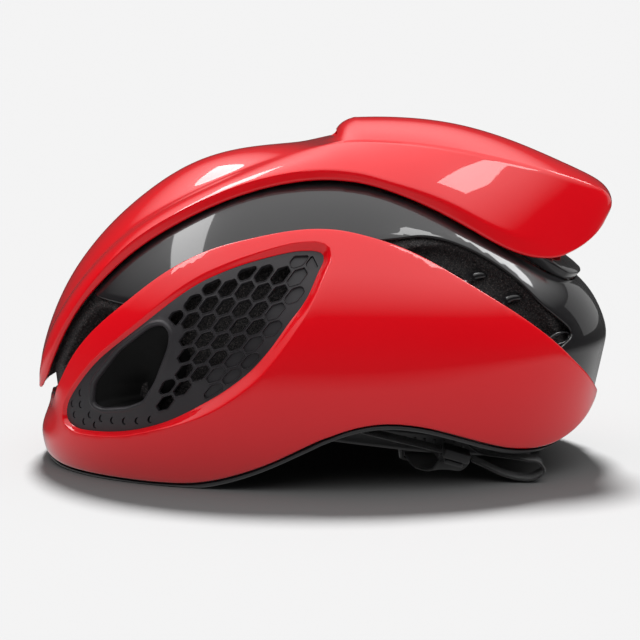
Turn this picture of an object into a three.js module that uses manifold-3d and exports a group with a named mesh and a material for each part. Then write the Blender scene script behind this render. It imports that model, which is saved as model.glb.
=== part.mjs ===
// Aero road cycling helmet. Millimetres, +Z up, front towards -Y, wearer's left towards +X.
// The origin is on the floor under the middle of the helmet, and the helmet rests on its rim.
import * as THREE from 'three';
import { mergeVertices } from 'three/addons/utils/BufferGeometryUtils.js';
import Module from 'manifold-3d';

const wasm = await Module();
wasm.setup();

// ---------------------------------------------------------------- driving dimensions

const PLAN_POWER = 2.2;           // superellipse power of every horizontal section
const SHELL_THICKNESS = 1.4;      // lower and mid polycarbonate shells
const TOP_SHELL_THICKNESS = 1.8;
const MID_INSET = 2.7;            // the black shell sits this far below the red lower shell
const LINER_INSET = 4.9;          // foam surface below the outer dome
const GAP = 0.4;                  // between neighbouring pieces
const EDGE_TURN = 4.5;            // depth of the top shell's turned-in edge
const FRONT_DIP = 5.5;            // the brow band leans back under the tongue by this much

// Outer dome: [horizontal radius, height] going up in front, at the side and at the back.
const FRONT_PROFILE = [
  [139.5, -4], [142.6, 3], [144.6, 12], [145.2, 25], [145, 38], [143.2, 55], [138.2, 73.5],
  [132, 86], [123.5, 99.6], [113.2, 113], [97, 128.6], [82.5, 140], [68, 148.5], [54, 153.4],
  [40, 155.9], [26, 157.6], [12, 158.7], [0, 159],
];
const SIDE_PROFILE = [
  [97.5, -4], [99, 4], [102, 20], [104.2, 40], [105, 58], [104.3, 70], [101.5, 84], [96, 98],
  [87.8, 112], [78.6, 124], [65.8, 136], [51.5, 145.5], [34, 153], [17, 157.6], [0, 159],
];
const REAR_PROFILE = [
  [133, -4], [137, 20], [139, 34], [143, 45], [146.3, 56], [146, 65], [142, 75], [134, 84],
  [124, 93], [112, 104], [96, 119], [78, 132], [58, 142.5], [36, 151.5], [18, 156.8], [0, 159],
];

// Head space inside the foam.
const HEAD = { halfWidth: 82, halfLength: 105, middleY: -3, springZ: 40, topZ: 130 };

// ---------------------------------------------------------------- small helpers

const vec = (x, y, z) => new THREE.Vector3(x, y, z);
const lerp = (a, b, t) => a + (b - a) * t;
const smooth = (a, b, t) => THREE.MathUtils.smoothstep(t, a, b);
const signedPower = (value, power) => Math.sign(value) * Math.abs(value) ** power;
const RADIANS = Math.PI / 180;

function profileRadius(profile) {
  const curve = new THREE.CatmullRomCurve3(profile.map(([r, z]) => vec(r, 0, z)));
  const samples = curve.getPoints(profile.length * 16);
  return (z) => {
    if (z <= samples[0].z) {
      return samples[0].x;
    }
    for (let i = 1; i < samples.length; i += 1) {
      if (z <= samples[i].z) {
        const t = (z - samples[i - 1].z) / (samples[i].z - samples[i - 1].z);
        return lerp(samples[i - 1].x, samples[i].x, t);
      }
    }
    return 0;
  };
}

const frontRadius = profileRadius(FRONT_PROFILE);
const sideRadius = profileRadius(SIDE_PROFILE);
const rearRadius = profileRadius(REAR_PROFILE);

// Angles are degrees in plan: 0 is the front, 90 the wearer's left, 180 the back.
function domeSurface(angle, z) {
  const sine = Math.sin(angle * RADIANS);
  const cosine = Math.cos(angle * RADIANS);
  const length = cosine > 0 ? frontRadius(z) : rearRadius(z);
  const x = sideRadius(z) * signedPower(sine, 2 / PLAN_POWER);
  const y = -length * signedPower(cosine, 2 / PLAN_POWER);
  const turned = Math.abs(((angle + 180) % 360 + 360) % 360 - 180);
  const dip = FRONT_DIP * (1 - smooth(8, 32, turned)) * smooth(12, 32, z) * (1 - smooth(34, 44, z));
  return vec(x, y + dip, z);
}

function dome(angle, z, inset = 0) {
  const point = domeSurface(angle, z);
  const step = 0.5;
  const around = domeSurface(angle + step, z).sub(domeSurface(angle - step, z));
  const up = domeSurface(angle, z + step).sub(domeSurface(angle, z - step));
  const normal = around.cross(up).normalize();
  return point.addScaledVector(normal, -inset);
}

// Plan angle of the point at y on the dome's left side at height z.
function angleAt(y, z) {
  const length = y < 0 ? frontRadius(z) : rearRadius(z);
  const cosine = Math.min(1, Math.abs(y) / length) ** (PLAN_POWER / 2);
  return Math.acos(y < 0 ? cosine : -cosine) / RADIANS;
}

// Point of the dome given in side view by y and z, on the left side or mirrored to the right.
const domeSide = (y, z, inset, side = 1) => {
  const point = dome(angleAt(y, z), z, inset);
  return vec(point.x * side, point.y, point.z);
};

function headSurface(angle, height, inset) {
  const rise = Math.min(1, Math.max(0, (height - HEAD.springZ) / (HEAD.topZ - HEAD.springZ)));
  const scale = Math.sqrt(Math.max(0, 1 - rise * rise));
  const sine = Math.sin(angle * RADIANS);
  const cosine = Math.cos(angle * RADIANS);
  const point = vec(
    HEAD.halfWidth * scale * signedPower(sine, 2 / PLAN_POWER),
    HEAD.middleY - HEAD.halfLength * scale * signedPower(cosine, 2 / PLAN_POWER),
    height,
  );
  const inward = vec(0, HEAD.middleY, Math.min(height, HEAD.springZ)).sub(point).normalize();
  return point.addScaledVector(inward, inset);
}

// ---------------------------------------------------------------- mesh builders

class MeshBuilder {
  constructor() {
    this.positions = [];
    this.indices = [];
  }

  vertex(point) {
    this.positions.push(point.x, point.y, point.z);
    return this.positions.length / 3 - 1;
  }

  row(points) {
    return points.map((point) => this.vertex(point));
  }

  quad(a, b, c, d) {
    this.indices.push(a, b, c, a, c, d);
  }

  // Finishes as an indexed geometry whose faces point outwards.
  geometry() {
    let geometry = new THREE.BufferGeometry();
    geometry.setAttribute('position', new THREE.Float32BufferAttribute(this.positions, 3));
    geometry.setIndex(this.indices);
    geometry = mergeVertices(geometry, 1e-3);
    return dropFlatFaces(pointOutwards(geometry));
  }
}

function pointOutwards(geometry) {
  const position = geometry.attributes.position;
  const index = Array.from(geometry.index.array);
  const [a, b, c] = [vec(0, 0, 0), vec(0, 0, 0), vec(0, 0, 0)];
  let volume = 0;
  for (let i = 0; i < index.length; i += 3) {
    a.fromBufferAttribute(position, index[i]);
    b.fromBufferAttribute(position, index[i + 1]);
    c.fromBufferAttribute(position, index[i + 2]);
    volume += a.dot(b.cross(c));
  }
  if (volume < 0) {
    for (let i = 0; i < index.length; i += 3) {
      [index[i + 1], index[i + 2]] = [index[i + 2], index[i + 1]];
    }
  }
  geometry.setIndex(index);
  return geometry;
}

function dropFlatFaces(geometry) {
  const index = geometry.index.array;
  const kept = [];
  for (let i = 0; i < index.length; i += 3) {
    const [a, b, c] = [index[i], index[i + 1], index[i + 2]];
    if (a !== b && b !== c && c !== a) {
      kept.push(a, b, c);
    }
  }
  geometry.setIndex(kept);
  return geometry;
}

// Solid between two matching grids of points; closed joins the last row to the first.
function sheetSolid(outer, inner, closed = false) {
  const builder = new MeshBuilder();
  const outside = outer.map((row) => builder.row(row));
  const inside = inner.map((row) => builder.row(row));
  const rows = outer.length;
  const columns = outer[0].length;
  const spans = closed ? rows : rows - 1;
  for (let i = 0; i < spans; i += 1) {
    const next = (i + 1) % rows;
    for (let j = 0; j < columns - 1; j += 1) {
      builder.quad(outside[i][j], outside[next][j], outside[next][j + 1], outside[i][j + 1]);
      builder.quad(inside[i][j], inside[i][j + 1], inside[next][j + 1], inside[next][j]);
    }
    const last = columns - 1;
    builder.quad(outside[i][0], inside[i][0], inside[next][0], outside[next][0]);
    builder.quad(outside[i][last], outside[next][last], inside[next][last], inside[i][last]);
  }
  if (!closed) {
    const end = rows - 1;
    for (let j = 0; j < columns - 1; j += 1) {
      builder.quad(outside[0][j], outside[0][j + 1], inside[0][j + 1], inside[0][j]);
      builder.quad(outside[end][j], inside[end][j], inside[end][j + 1], outside[end][j + 1]);
    }
  }
  return builder.geometry();
}

// Moves a grid of points along its own normals, away from the side that faces the middle.
function offsetGrid(grid, distance) {
  const middle = vec(0, 0, 40);
  return grid.map((row, i) => row.map((point, j) => {
    const before = grid[Math.max(0, i - 1)][j];
    const after = grid[Math.min(grid.length - 1, i + 1)][j];
    const left = row[Math.max(0, j - 1)];
    const right = row[Math.min(row.length - 1, j + 1)];
    const normal = after.clone().sub(before).cross(right.clone().sub(left)).normalize();
    if (normal.dot(point.clone().sub(middle)) < 0) {
      normal.negate();
    }
    return point.clone().addScaledVector(normal, distance);
  }));
}

// Solid through a list of closed loops with equal point counts, capped at both ends.
function loftSolid(loops, closed = false) {
  const builder = new MeshBuilder();
  const rings = loops.map((loop) => builder.row(loop));
  const count = loops[0].length;
  const spans = closed ? loops.length : loops.length - 1;
  for (let i = 0; i < spans; i += 1) {
    const next = (i + 1) % loops.length;
    for (let j = 0; j < count; j += 1) {
      const k = (j + 1) % count;
      builder.quad(rings[i][j], rings[next][j], rings[next][k], rings[i][k]);
    }
  }
  if (!closed) {
    for (let j = 1; j < count - 1; j += 1) {
      builder.indices.push(rings[0][0], rings[0][j], rings[0][j + 1]);
      const end = rings[loops.length - 1];
      builder.indices.push(end[0], end[j + 1], end[j]);
    }
  }
  return builder.geometry();
}

function toSolid(geometry) {
  const clean = geometry.clone();
  clean.deleteAttribute('normal');
  clean.deleteAttribute('uv');
  const merged = mergeVertices(clean, 1e-3);
  return new wasm.Manifold(new wasm.Mesh({
    numProp: 3,
    vertProperties: new Float32Array(merged.attributes.position.array),
    triVerts: new Uint32Array(merged.index.array),
  }));
}

function toGeometry(solid) {
  const mesh = solid.getMesh();
  const geometry = new THREE.BufferGeometry();
  geometry.setAttribute('position', new THREE.Float32BufferAttribute(mesh.vertProperties, 3));
  geometry.setIndex(Array.from(mesh.triVerts));
  return dropFlatFaces(mergeVertices(geometry, 1e-3));
}

const subtract = (geometry, cutters) => toGeometry(
  cutters.reduce((solid, cutter) => solid.subtract(toSolid(cutter)), toSolid(geometry)),
);
const unite = (geometries) => toGeometry(
  geometries.slice(1).reduce((solid, other) => solid.add(toSolid(other)), toSolid(geometries[0])),
);

// Points of a spline through the same rail of every station, at evenly spaced stations.
function alongStations(stations, rail, count) {
  const curve = new THREE.CatmullRomCurve3(stations.map((station) => station[rail]));
  return Array.from({ length: count }, (_, i) => curve.getPoint(i / (count - 1)));
}

const mirrored = (point) => vec(-point.x, point.y, point.z);

// ---------------------------------------------------------------- materials

const MATERIALS = {
  red: new THREE.MeshStandardMaterial({ color: 0xc8101c, roughness: 0.12, metalness: 0 }),
  gloss: new THREE.MeshStandardMaterial({ color: 0x1c1c1f, roughness: 0.15, metalness: 0 }),
  matte: new THREE.MeshStandardMaterial({ color: 0x232326, roughness: 0.6, metalness: 0 }),
  foam: new THREE.MeshStandardMaterial({ color: 0x1a1a1c, roughness: 0.9, metalness: 0 }),
  pad: new THREE.MeshStandardMaterial({ color: 0x17171a, roughness: 1, metalness: 0 }),
  webbing: new THREE.MeshStandardMaterial({ color: 0x151517, roughness: 0.85, metalness: 0 }),
};

const helmet = new THREE.Group();

function addPart(name, geometry, material) {
  const mesh = new THREE.Mesh(geometry, MATERIALS[material]);
  mesh.name = name;
  helmet.add(mesh);
  return mesh;
}

// ---------------------------------------------------------------- top shell

// Stations from the brow tip to the tail: [centre y z], [crease x y z], [edge x y z].
const TOP_STATIONS = [
  [[-144.8, 37], [9, -144.4, 37.2], [16.5, -142.5, 37.5]],
  [[-145.5, 43], [14, -144, 43.5], [25, -140.5, 42.5]],
  [[-144.5, 52], [20, -142.3, 53], [34, -136.8, 51.5]],
  [[-140.5, 66.5], [26, -136.8, 68], [43, -130, 66]],
  [[-133, 85], [31, -127.4, 84], [50, -120.5, 82.5]],
  [[-122.3, 102], [35, -115.5, 99.5], [54, -109, 95.5]],
  [[-108, 118.8], [37, -101, 114], [57, -95.5, 108.5]],
  [[-91, 133.5], [38, -85, 125.8], [59.5, -79, 119.8]],
  [[-72, 146.5], [37.5, -67, 135.5], [59.5, -60, 129.8]],
  [[-52, 154], [36.5, -48, 144], [57.5, -41, 137.5]],
  [[-31, 157], [35, -30, 151.5], [55, -21, 142.6]],
  [[-13, 158], [33.8, -11, 156.8], [54, -3, 144.6]],
  [[-1, 158.5], [33, 1, 159.3], [54.2, 8, 143.9]],
  [[6, 161.5], [33, 8, 160.3], [54.6, 14, 143.2]],
  [[11, 168], [33.2, 13, 160.9], [55, 19, 142.3]],
  [[18, 171], [33.5, 19, 161.2], [55.5, 26, 140.6]],
  [[38, 171], [35, 38, 160.3], [57.5, 43, 134.6]],
  [[59, 169], [36.5, 57, 158.2], [59.3, 61, 126]],
  [[79, 164.4], [37, 75, 154.7], [59, 78, 116]],
  [[99, 157.4], [36.5, 94, 150.6], [55, 93, 108.5]],
  [[118, 149], [34, 112, 145.8], [48.5, 106, 105.4]],
  [[132, 142.6], [29, 126.5, 140.8], [41, 117.5, 105.8]],
  [[140, 138], [23, 137, 136.3], [34, 128.5, 112]],
  [[143.6, 133], [17, 142, 132.2], [25, 137.5, 122]],
  [[144.4, 129.5], [12, 143.6, 129], [16, 142, 127]],
].map(([centre, crease, edge]) => [vec(0, ...centre), vec(...crease), vec(...edge)]);

// Half section from the centre line to the turned-in edge.
function topSection(centre, crease, edge) {
  const quarter = vec(
    crease.x / 2,
    lerp(centre.y, crease.y, 0.4),
    lerp(centre.z, crease.z, 0.25),
  );
  const outward = dome(angleAt(edge.y, edge.z), edge.z).sub(dome(angleAt(edge.y, edge.z), edge.z, 1));
  const frontTaper = lerp(0.25, 1, smooth(37, 60, centre.z));
  const tailTaper = lerp(1, 0.3, smooth(132, 144, centre.y));
  const turn = EDGE_TURN * frontTaper * tailTaper;
  const shoulder = edge.clone().addScaledVector(outward, turn);
  const flank = crease.clone().lerp(shoulder, 0.5).addScaledVector(outward, 1.6);
  return [centre, quarter, crease, flank, shoulder, edge];
}

function topGrid(stations, perSpan) {
  const count = (stations.length - 1) * perSpan + 1;
  const rails = [0, 1, 2].map((rail) => alongStations(stations, rail, count));
  return rails[0].map((centre, i) => {
    const half = topSection(centre, rails[1][i], rails[2][i]);
    return [...half.slice(1).reverse().map(mirrored), ...half];
  });
}

// Forward-facing mouth under the raised roof.
const SCOOP = { halfWidth: 27, floorZ: 160, roofZ: 167.2, frontY: -4, backY: 30 };

function scoopCutter() {
  const section = (y) => {
    const arch = [0, 1, 2, 3, 4, 5, 6].map((i) => {
      const x = lerp(SCOOP.halfWidth, -SCOOP.halfWidth, i / 6);
      const fall = (x / SCOOP.halfWidth) ** 2;
      return vec(x, y, lerp(SCOOP.roofZ, SCOOP.floorZ + 0.6, fall));
    });
    return [vec(-SCOOP.halfWidth, y, SCOOP.floorZ), vec(SCOOP.halfWidth, y, SCOOP.floorZ), ...arch];
  };
  return loftSolid([section(SCOOP.frontY), section(SCOOP.backY)]);
}

const topOuter = topGrid(TOP_STATIONS, 1);
const topShell = sheetSolid(topOuter, offsetGrid(topOuter, -TOP_SHELL_THICKNESS));
addPart('top_shell', subtract(topShell, [scoopCutter()]), 'red');

// ---------------------------------------------------------------- lower shell

// Stations from the middle of the brow to the rear tip: [top edge y z], [bottom edge y z].
const LOWER_STATIONS = [
  [[-139, 34], [-137, 3.2]],
  [[-133, 40], [-131, 2]],
  [[-124, 58], [-121, 1.6]],
  [[-112, 73], [-108, 1.5]],
  [[-96, 87], [-93, 1.3]],
  [[-77, 102], [-76, 1.3]],
  [[-56, 113], [-60, 2.4]],
  [[-36, 118.5], [-43, 6.8]],
  [[-16, 122.5], [-26, 13.3]],
  [[2, 123.3], [-8, 22.3]],
  [[20, 119.8], [8, 29.2]],
  [[38, 113.8], [25, 32.8]],
  [[56, 104.5], [43, 31.2]],
  [[74, 93.3], [60, 26.4]],
  [[91, 82.5], [76, 20.8]],
  [[105, 72], [92, 16.2]],
  [[117, 60.5], [108, 15.8]],
  [[127, 50], [121, 20.2]],
  [[133, 41.5], [130, 26.6]],
  [[135.6, 37], [134.6, 32.8]],
];
const BROW_TOP_Z = 32.4;
const BROW_BOTTOM_Z = 5.4;

// The same stations as plan angle and height, from the right rear tip round to the left one.
const lowerAngles = LOWER_STATIONS.map((station) => station.map(
  ([y, z]) => vec(angleAt(y, z), z, 0),
));
const lowerRound = [
  ...lowerAngles.map((station) => station.map((p) => vec(-p.x, p.y, 0))).reverse(),
  [vec(0, BROW_TOP_Z, 0), vec(0, BROW_BOTTOM_Z, 0)],
  ...lowerAngles,
];

// Grid on the dome between two rails given as plan angle and height.
function domeGrid(stations, count, columns, inset) {
  const top = alongStations(stations, 0, count);
  const bottom = alongStations(stations, 1, count);
  return top.map((start, i) => Array.from({ length: columns }, (_, j) => {
    const t = j / (columns - 1);
    return dome(lerp(start.x, bottom[i].x, t), lerp(start.y, bottom[i].y, t), inset);
  }));
}

// Leaf-shaped recess in the lower shell, in side view: [y, z] round its outline.
const LEAF = [
  [3, 107], [2.5, 100], [-6, 86], [-17, 69], [-30, 50.5], [-47, 33], [-72, 21], [-98, 15.8],
  [-115, 15.5], [-124.5, 20], [-126.5, 28], [-120, 44.5], [-106, 61.5], [-82, 80.5],
  [-58, 94.5], [-34, 103.6], [-11, 109.3],
];

function leafOutline(grow, count) {
  const curve = new THREE.CatmullRomCurve3(LEAF.map(([y, z]) => vec(0, y, z)), true);
  return Array.from({ length: count }, (_, i) => {
    const point = curve.getPoint(i / count);
    const tangent = curve.getTangent(i / count);
    return [point.y - tangent.z * grow, point.z + tangent.y * grow];
  });
}

// Solid over a leaf-shaped area of the side, between two insets below the dome.
function leafSolid(side, grow, outerInset, innerInset, count, rows) {
  const outline = leafOutline(grow, count);
  const middle = [-62, 58];
  const builder = new MeshBuilder();
  const surface = (inset) => Array.from({ length: rows }, (_, r) => builder.row(
    outline.map(([y, z]) => {
      const t = (r + 1) / rows;
      return domeSide(lerp(middle[0], y, t), lerp(middle[1], z, t), inset, side);
    }),
  ));
  const outer = surface(outerInset);
  const inner = surface(innerInset);
  const outerMiddle = builder.vertex(domeSide(...middle, outerInset, side));
  const innerMiddle = builder.vertex(domeSide(...middle, innerInset, side));
  for (let i = 0; i < count; i += 1) {
    const k = (i + 1) % count;
    builder.indices.push(outerMiddle, outer[0][i], outer[0][k]);
    builder.indices.push(innerMiddle, inner[0][k], inner[0][i]);
    for (let r = 0; r < rows - 1; r += 1) {
      builder.quad(outer[r][i], outer[r + 1][i], outer[r + 1][k], outer[r][k]);
      builder.quad(inner[r][i], inner[r][k], inner[r + 1][k], inner[r + 1][i]);
    }
    builder.quad(outer[rows - 1][i], inner[rows - 1][i], inner[rows - 1][k], outer[rows - 1][k]);
  }
  return builder.geometry();
}

const GRILLE_INSET = 5;
const LEAF_POINTS = 34;
const LOWER_GRID = [41, 6];
const lowerOuter = domeGrid(lowerRound, ...LOWER_GRID, 0);
const lowerInner = domeGrid(lowerRound, ...LOWER_GRID, SHELL_THICKNESS);
const leafCutters = [1, -1].map((side) => leafSolid(side, 0, -3, 4, LEAF_POINTS, 3));
addPart('lower_shell', subtract(sheetSolid(lowerOuter, lowerInner), leafCutters), 'red');

// ---------------------------------------------------------------- mid shell

// Stations from the front end to the rear: [upper edge y z], [lower edge y z].
const MID_STATIONS = [
  [[-116.5, 88.5], [-93.5, 86]],
  [[-104, 102], [-84, 93.8]],
  [[-89, 115], [-71, 103]],
  [[-72, 125.5], [-57, 109.5]],
  [[-53, 134.5], [-42, 114]],
  [[-34, 141.2], [-26, 118]],
  [[-15, 145], [-11, 120.2]],
  [[5, 145.5], [5, 120]],
  [[24, 141.8], [20, 117.2]],
  [[41, 136.2], [33, 117.5]],
  [[57, 129.5], [48, 119.2]],
  [[72, 121.5], [62, 118]],
  [[85, 114], [76, 111]],
  [[96, 107.4], [91, 101.5]],
  [[104.5, 102.5], [104, 90]],
  [[110, 99.5], [114.5, 79]],
  [[114.5, 97.5], [121, 68]],
  [[118, 96], [126, 48.5]],
  [[120.5, 95], [131.5, 38.6]],
];
const REAR_TOP_Z = 94.5;
const REAR_BOTTOM_Z = 35.2;

const midAngles = MID_STATIONS.map((station) => station.map(
  ([y, z]) => vec(angleAt(y, z), z, 0),
));
const midRound = [
  ...midAngles,
  [vec(180, REAR_TOP_Z, 0), vec(180, REAR_BOTTOM_Z, 0)],
  ...midAngles.map((station) => station.map((p) => vec(360 - p.x, p.y, 0))).reverse(),
];
const MID_GRID = [45, 5];
addPart(
  'mid_shell',
  sheetSolid(
    domeGrid(midRound, ...MID_GRID, MID_INSET),
    domeGrid(midRound, ...MID_GRID, MID_INSET + SHELL_THICKNESS),
  ),
  'gloss',
);

// ---------------------------------------------------------------- tail base

// Upright frame between the dome and the tail's rim: [y, z, height above the dome].
const TAIL_BASE = [
  [60, 131, 1.2], [72, 124.6, 1.5], [83, 117.4, 1.8], [93, 110.6, 2.4], [101, 104.8, 3.2],
  [107.5, 100.9, 4.4], [112.5, 98.2, 5.4], [116, 96.6, 5.8], [119, 95.2, 6],
];
const TAIL_BASE_THICKNESS = 2.4;
const TAIL_BASE_REAR_Z = 94.2;

function tailBaseGeometry() {
  const half = TAIL_BASE.map(([y, z, height]) => vec(angleAt(y, z), z, height));
  const round = [
    ...half,
    vec(180, TAIL_BASE_REAR_Z, TAIL_BASE[TAIL_BASE.length - 1][2]),
    ...half.map((p) => vec(360 - p.x, p.y, p.z)).reverse(),
  ];
  const curve = new THREE.CatmullRomCurve3(round);
  const loops = curve.getPoints(36).map((p) => [
    dome(p.x, p.y, MID_INSET - GAP),
    dome(p.x, p.y, -p.z),
    dome(p.x, p.y + TAIL_BASE_THICKNESS, -p.z),
    dome(p.x, p.y + TAIL_BASE_THICKNESS, MID_INSET - GAP),
  ]);
  return loftSolid(loops);
}
addPart('tail_base', tailBaseGeometry(), 'gloss');

// ---------------------------------------------------------------- foam liner and rim

// Lower rim of the helmet all the way round, as plan angle and height of the red shell's edge.
const RIM_REAR_Z = 33.6;
const RIM_DROP = 2.6;
const RIM_STATIONS = 56;

function rimPath() {
  const half = lowerAngles.map((station) => station[1]);
  const round = [
    vec(0, BROW_BOTTOM_Z, 0),
    ...half,
    vec(180, RIM_REAR_Z + 1, 0),
    ...half.map((p) => vec(360 - p.x, p.y, 0)).reverse(),
    vec(360, BROW_BOTTOM_Z, 0),
  ];
  const curve = new THREE.CatmullRomCurve3(round);
  return Array.from({ length: RIM_STATIONS }, (_, i) => curve.getPoint(i / RIM_STATIONS));
}

function rimGeometry() {
  const outerInset = 0.4;
  const innerInset = 8;
  const loops = rimPath().map((p) => {
    const low = Math.max(0, p.y - RIM_DROP);
    const high = p.y - 2 * GAP;
    return [
      dome(p.x, low, outerInset + 0.8).setZ(low),
      dome(p.x, high, outerInset).setZ(high),
      dome(p.x, high, innerInset).setZ(high),
      dome(p.x, low, innerInset).setZ(low),
    ];
  });
  return loftSolid(loops, true);
}
addPart('base_rim', rimGeometry(), 'matte');

const REAR_LINER_GAP = 2.5;      // extra room behind the rear shell

function linerBlank() {
  const builder = new MeshBuilder();
  const rim = rimPath();
  const count = rim.length;
  const outerRows = 10;
  const innerRows = 8;
  const topZ = 158.6;
  const rows = [];
  for (let r = 0; r < outerRows; r += 1) {
    const rise = Math.sin((r / outerRows) * Math.PI / 2);
    rows.push(builder.row(rim.map((p) => {
      const z = lerp(p.y + 0.2, topZ, rise);
      return dome(p.x, z, LINER_INSET + REAR_LINER_GAP * smooth(135, 165, 180 - Math.abs(180 - p.x)));
    })));
  }
  const outerPole = builder.vertex(vec(0, 0, 159 - LINER_INSET));
  const inside = [];
  for (let r = 0; r < innerRows; r += 1) {
    const rise = Math.sin((r / innerRows) * Math.PI / 2);
    inside.push(builder.row(rim.map((p) => headSurface(p.x, lerp(p.y + 0.2, HEAD.topZ, rise), 0))));
  }
  const innerPole = builder.vertex(vec(0, HEAD.middleY, HEAD.topZ));
  for (let i = 0; i < count; i += 1) {
    const k = (i + 1) % count;
    for (let r = 0; r < outerRows - 1; r += 1) {
      builder.quad(rows[r][i], rows[r][k], rows[r + 1][k], rows[r + 1][i]);
    }
    builder.indices.push(rows[outerRows - 1][i], rows[outerRows - 1][k], outerPole);
    for (let r = 0; r < innerRows - 1; r += 1) {
      builder.quad(inside[r][i], inside[r + 1][i], inside[r + 1][k], inside[r][k]);
    }
    builder.indices.push(inside[innerRows - 1][k], inside[innerRows - 1][i], innerPole);
    builder.quad(rows[0][i], inside[0][i], inside[0][k], rows[0][k]);
  }
  return builder.geometry();
}

// Hole or pocket in the side of the liner: an outline in side view between two insets.
function pocket(side, outline, fromInset, toInset) {
  return loftSolid([fromInset, toInset].map(
    (inset) => outline.map(([y, z]) => domeSide(y, z, inset, side)),
  ));
}

// Straight hole through the side: an outline in side view pushed along one direction.
function shaft(side, outline, fromInset, toInset) {
  const outer = outline.map(([y, z]) => domeSide(y, z, fromInset, side));
  const middleY = outline.reduce((sum, [y]) => sum + y, 0) / outline.length;
  const middleZ = outline.reduce((sum, [, z]) => sum + z, 0) / outline.length;
  const start = domeSide(middleY, middleZ, fromInset, side);
  const push = domeSide(middleY, middleZ, toInset, side).sub(start);
  return loftSolid([outer, outer.map((point) => point.clone().add(push))]);
}

// Rounded opening in side view, with its long axis turned from +y towards +z.
function slotOutline(y, z, length, width, turn, count = 8) {
  return Array.from({ length: count }, (_, i) => {
    const angle = (i + 0.5) / count * Math.PI * 2;
    const along = Math.cos(angle) * length / 2;
    const across = Math.sin(angle) * width / 2;
    const c = Math.cos(turn * RADIANS);
    const s = Math.sin(turn * RADIANS);
    return [y + along * c - across * s, z + along * s + across * c];
  });
}

const FRONT_VENT = [
  [-116, 84], [-105, 84.5], [-113, 70], [-122, 56], [-130, 46], [-135, 50], [-129.5, 64],
];
const REAR_VENT = [
  [34, 115], [46, 117], [58, 117], [70, 112.5], [85, 103], [99, 91.5], [111, 79.5], [118.5, 69],
  [116, 63.5], [103, 75.5], [88, 86.5], [72, 97], [56, 106.5], [42, 112.5],
];
const REAR_SLOTS = [
  slotOutline(71.5, 101.5, 12, 6.5, -32), slotOutline(88, 89.5, 12, 6.5, -38),
];
// Spaces with upright walls: the slot in the crown, the recess the dial rises into, and
// the channel for the cradle's stem.
function uprightSpace(halfWidth, frontY, backY, lowZ, highZ) {
  const outline = (z) => [
    vec(-halfWidth, frontY, z),
    vec(halfWidth, frontY, z),
    vec(halfWidth, backY, z),
    vec(-halfWidth, backY, z),
  ];
  return loftSolid([outline(lowZ), outline(highZ)]);
}

const linerCutters = [1, -1].flatMap((side) => [
  leafSolid(side, 3.4, -3, 12, LEAF_POINTS, 1),
  pocket(side, FRONT_VENT, -4, 52),
  pocket(side, REAR_VENT, -4, 11),
  ...REAR_SLOTS.map((outline) => pocket(side, outline, 6, 45)),
]);
// Space of the top shell with its clearance, which trims the foam under it.
const topClearance = sheetSolid(
  offsetGrid(topOuter, 8),
  offsetGrid(topOuter, -TOP_SHELL_THICKNESS - GAP),
);
const linerSpaces = [
  topClearance,
  ...linerCutters,
  uprightSpace(8, 38, 70, 90, 170),
  uprightSpace(48, 80, 113.4, 12, 40),
  uprightSpace(7.2, 80, 92.6, 34, 87.5),
];
addPart('foam_liner', subtract(linerBlank(), linerSpaces), 'foam');

// ---------------------------------------------------------------- side grilles

const GRILLE_THICKNESS = 2;
// Grille cells lie on a slanted lattice along the dome: [along the side, up] between neighbours.
const CELL = { step: [7.95, -0.48], rise: [1.3, 8.3], openShare: 0.8, arcZ: 55 };
const CELL_START = [-27.8, 79.5];
// Area of open cells, in side view.
const OPEN_AREA = [
  [-84, 73], [-60, 87], [-34, 96], [-10, 101.5], [-8, 97], [-22, 74], [-36, 57], [-50, 46],
  [-66, 37], [-80, 34], [-85, 45], [-80, 60],
];
const DUCT_OUTLINE = [
  [-78.5, 75], [-76, 70], [-79, 58], [-84, 44.5], [-90, 37], [-101, 33], [-110, 34],
  [-113.5, 38], [-108, 48], [-98, 61], [-87, 71],
];

function insideOutline(outline, y, z) {
  let inside = false;
  outline.forEach(([y1, z1], i) => {
    const [y0, z0] = outline[(i + outline.length - 1) % outline.length];
    if ((z1 > z) !== (z0 > z) && y < (y0 - y1) * (z - z1) / (z0 - z1) + y1) {
      inside = !inside;
    }
  });
  return inside;
}

// Distance along the dome's side from y = 0 to y, and back, as a table at one height.
const ARC_TABLE = Array.from({ length: 141 }, (_, i) => -140 + i).map((y) => {
  const point = domeSide(y, CELL.arcZ, 0);
  return { y, x: point.x, s: 0 };
});
for (let i = ARC_TABLE.length - 2; i >= 0; i -= 1) {
  const [here, next] = [ARC_TABLE[i], ARC_TABLE[i + 1]];
  here.s = next.s - Math.hypot(next.y - here.y, next.x - here.x);
}

function interpolate(from, to, value) {
  const k = Math.max(1, ARC_TABLE.findIndex((entry) => entry[from] >= value));
  const [low, high] = [ARC_TABLE[k - 1], ARC_TABLE[k]];
  return lerp(low[to], high[to], (value - low[from]) / (high[from] - low[from]));
}

function openCells() {
  const [a, b] = [CELL.step, CELL.rise];
  const corners = [[2, 1], [1, 2], [-1, 1], [-2, -1], [-1, -2], [1, -1]].map(([i, j]) => [
    (i * a[0] + j * b[0]) / 3 * CELL.openShare,
    (i * a[1] + j * b[1]) / 3 * CELL.openShare,
  ]);
  const startS = interpolate('y', 's', CELL_START[0]);
  const cells = [];
  for (let row = -8; row <= 5; row += 1) {
    for (let column = -14; column <= 6; column += 1) {
      const along = startS + column * a[0] + row * b[0];
      const up = CELL_START[1] + column * a[1] + row * b[1];
      const place = ([s, z]) => [interpolate('s', 'y', along + s), up + z];
      if (along < -8 && insideOutline(OPEN_AREA, ...place([0, 0]))) {
        cells.push(corners.map(place));
      }
    }
  }
  return cells;
}

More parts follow.
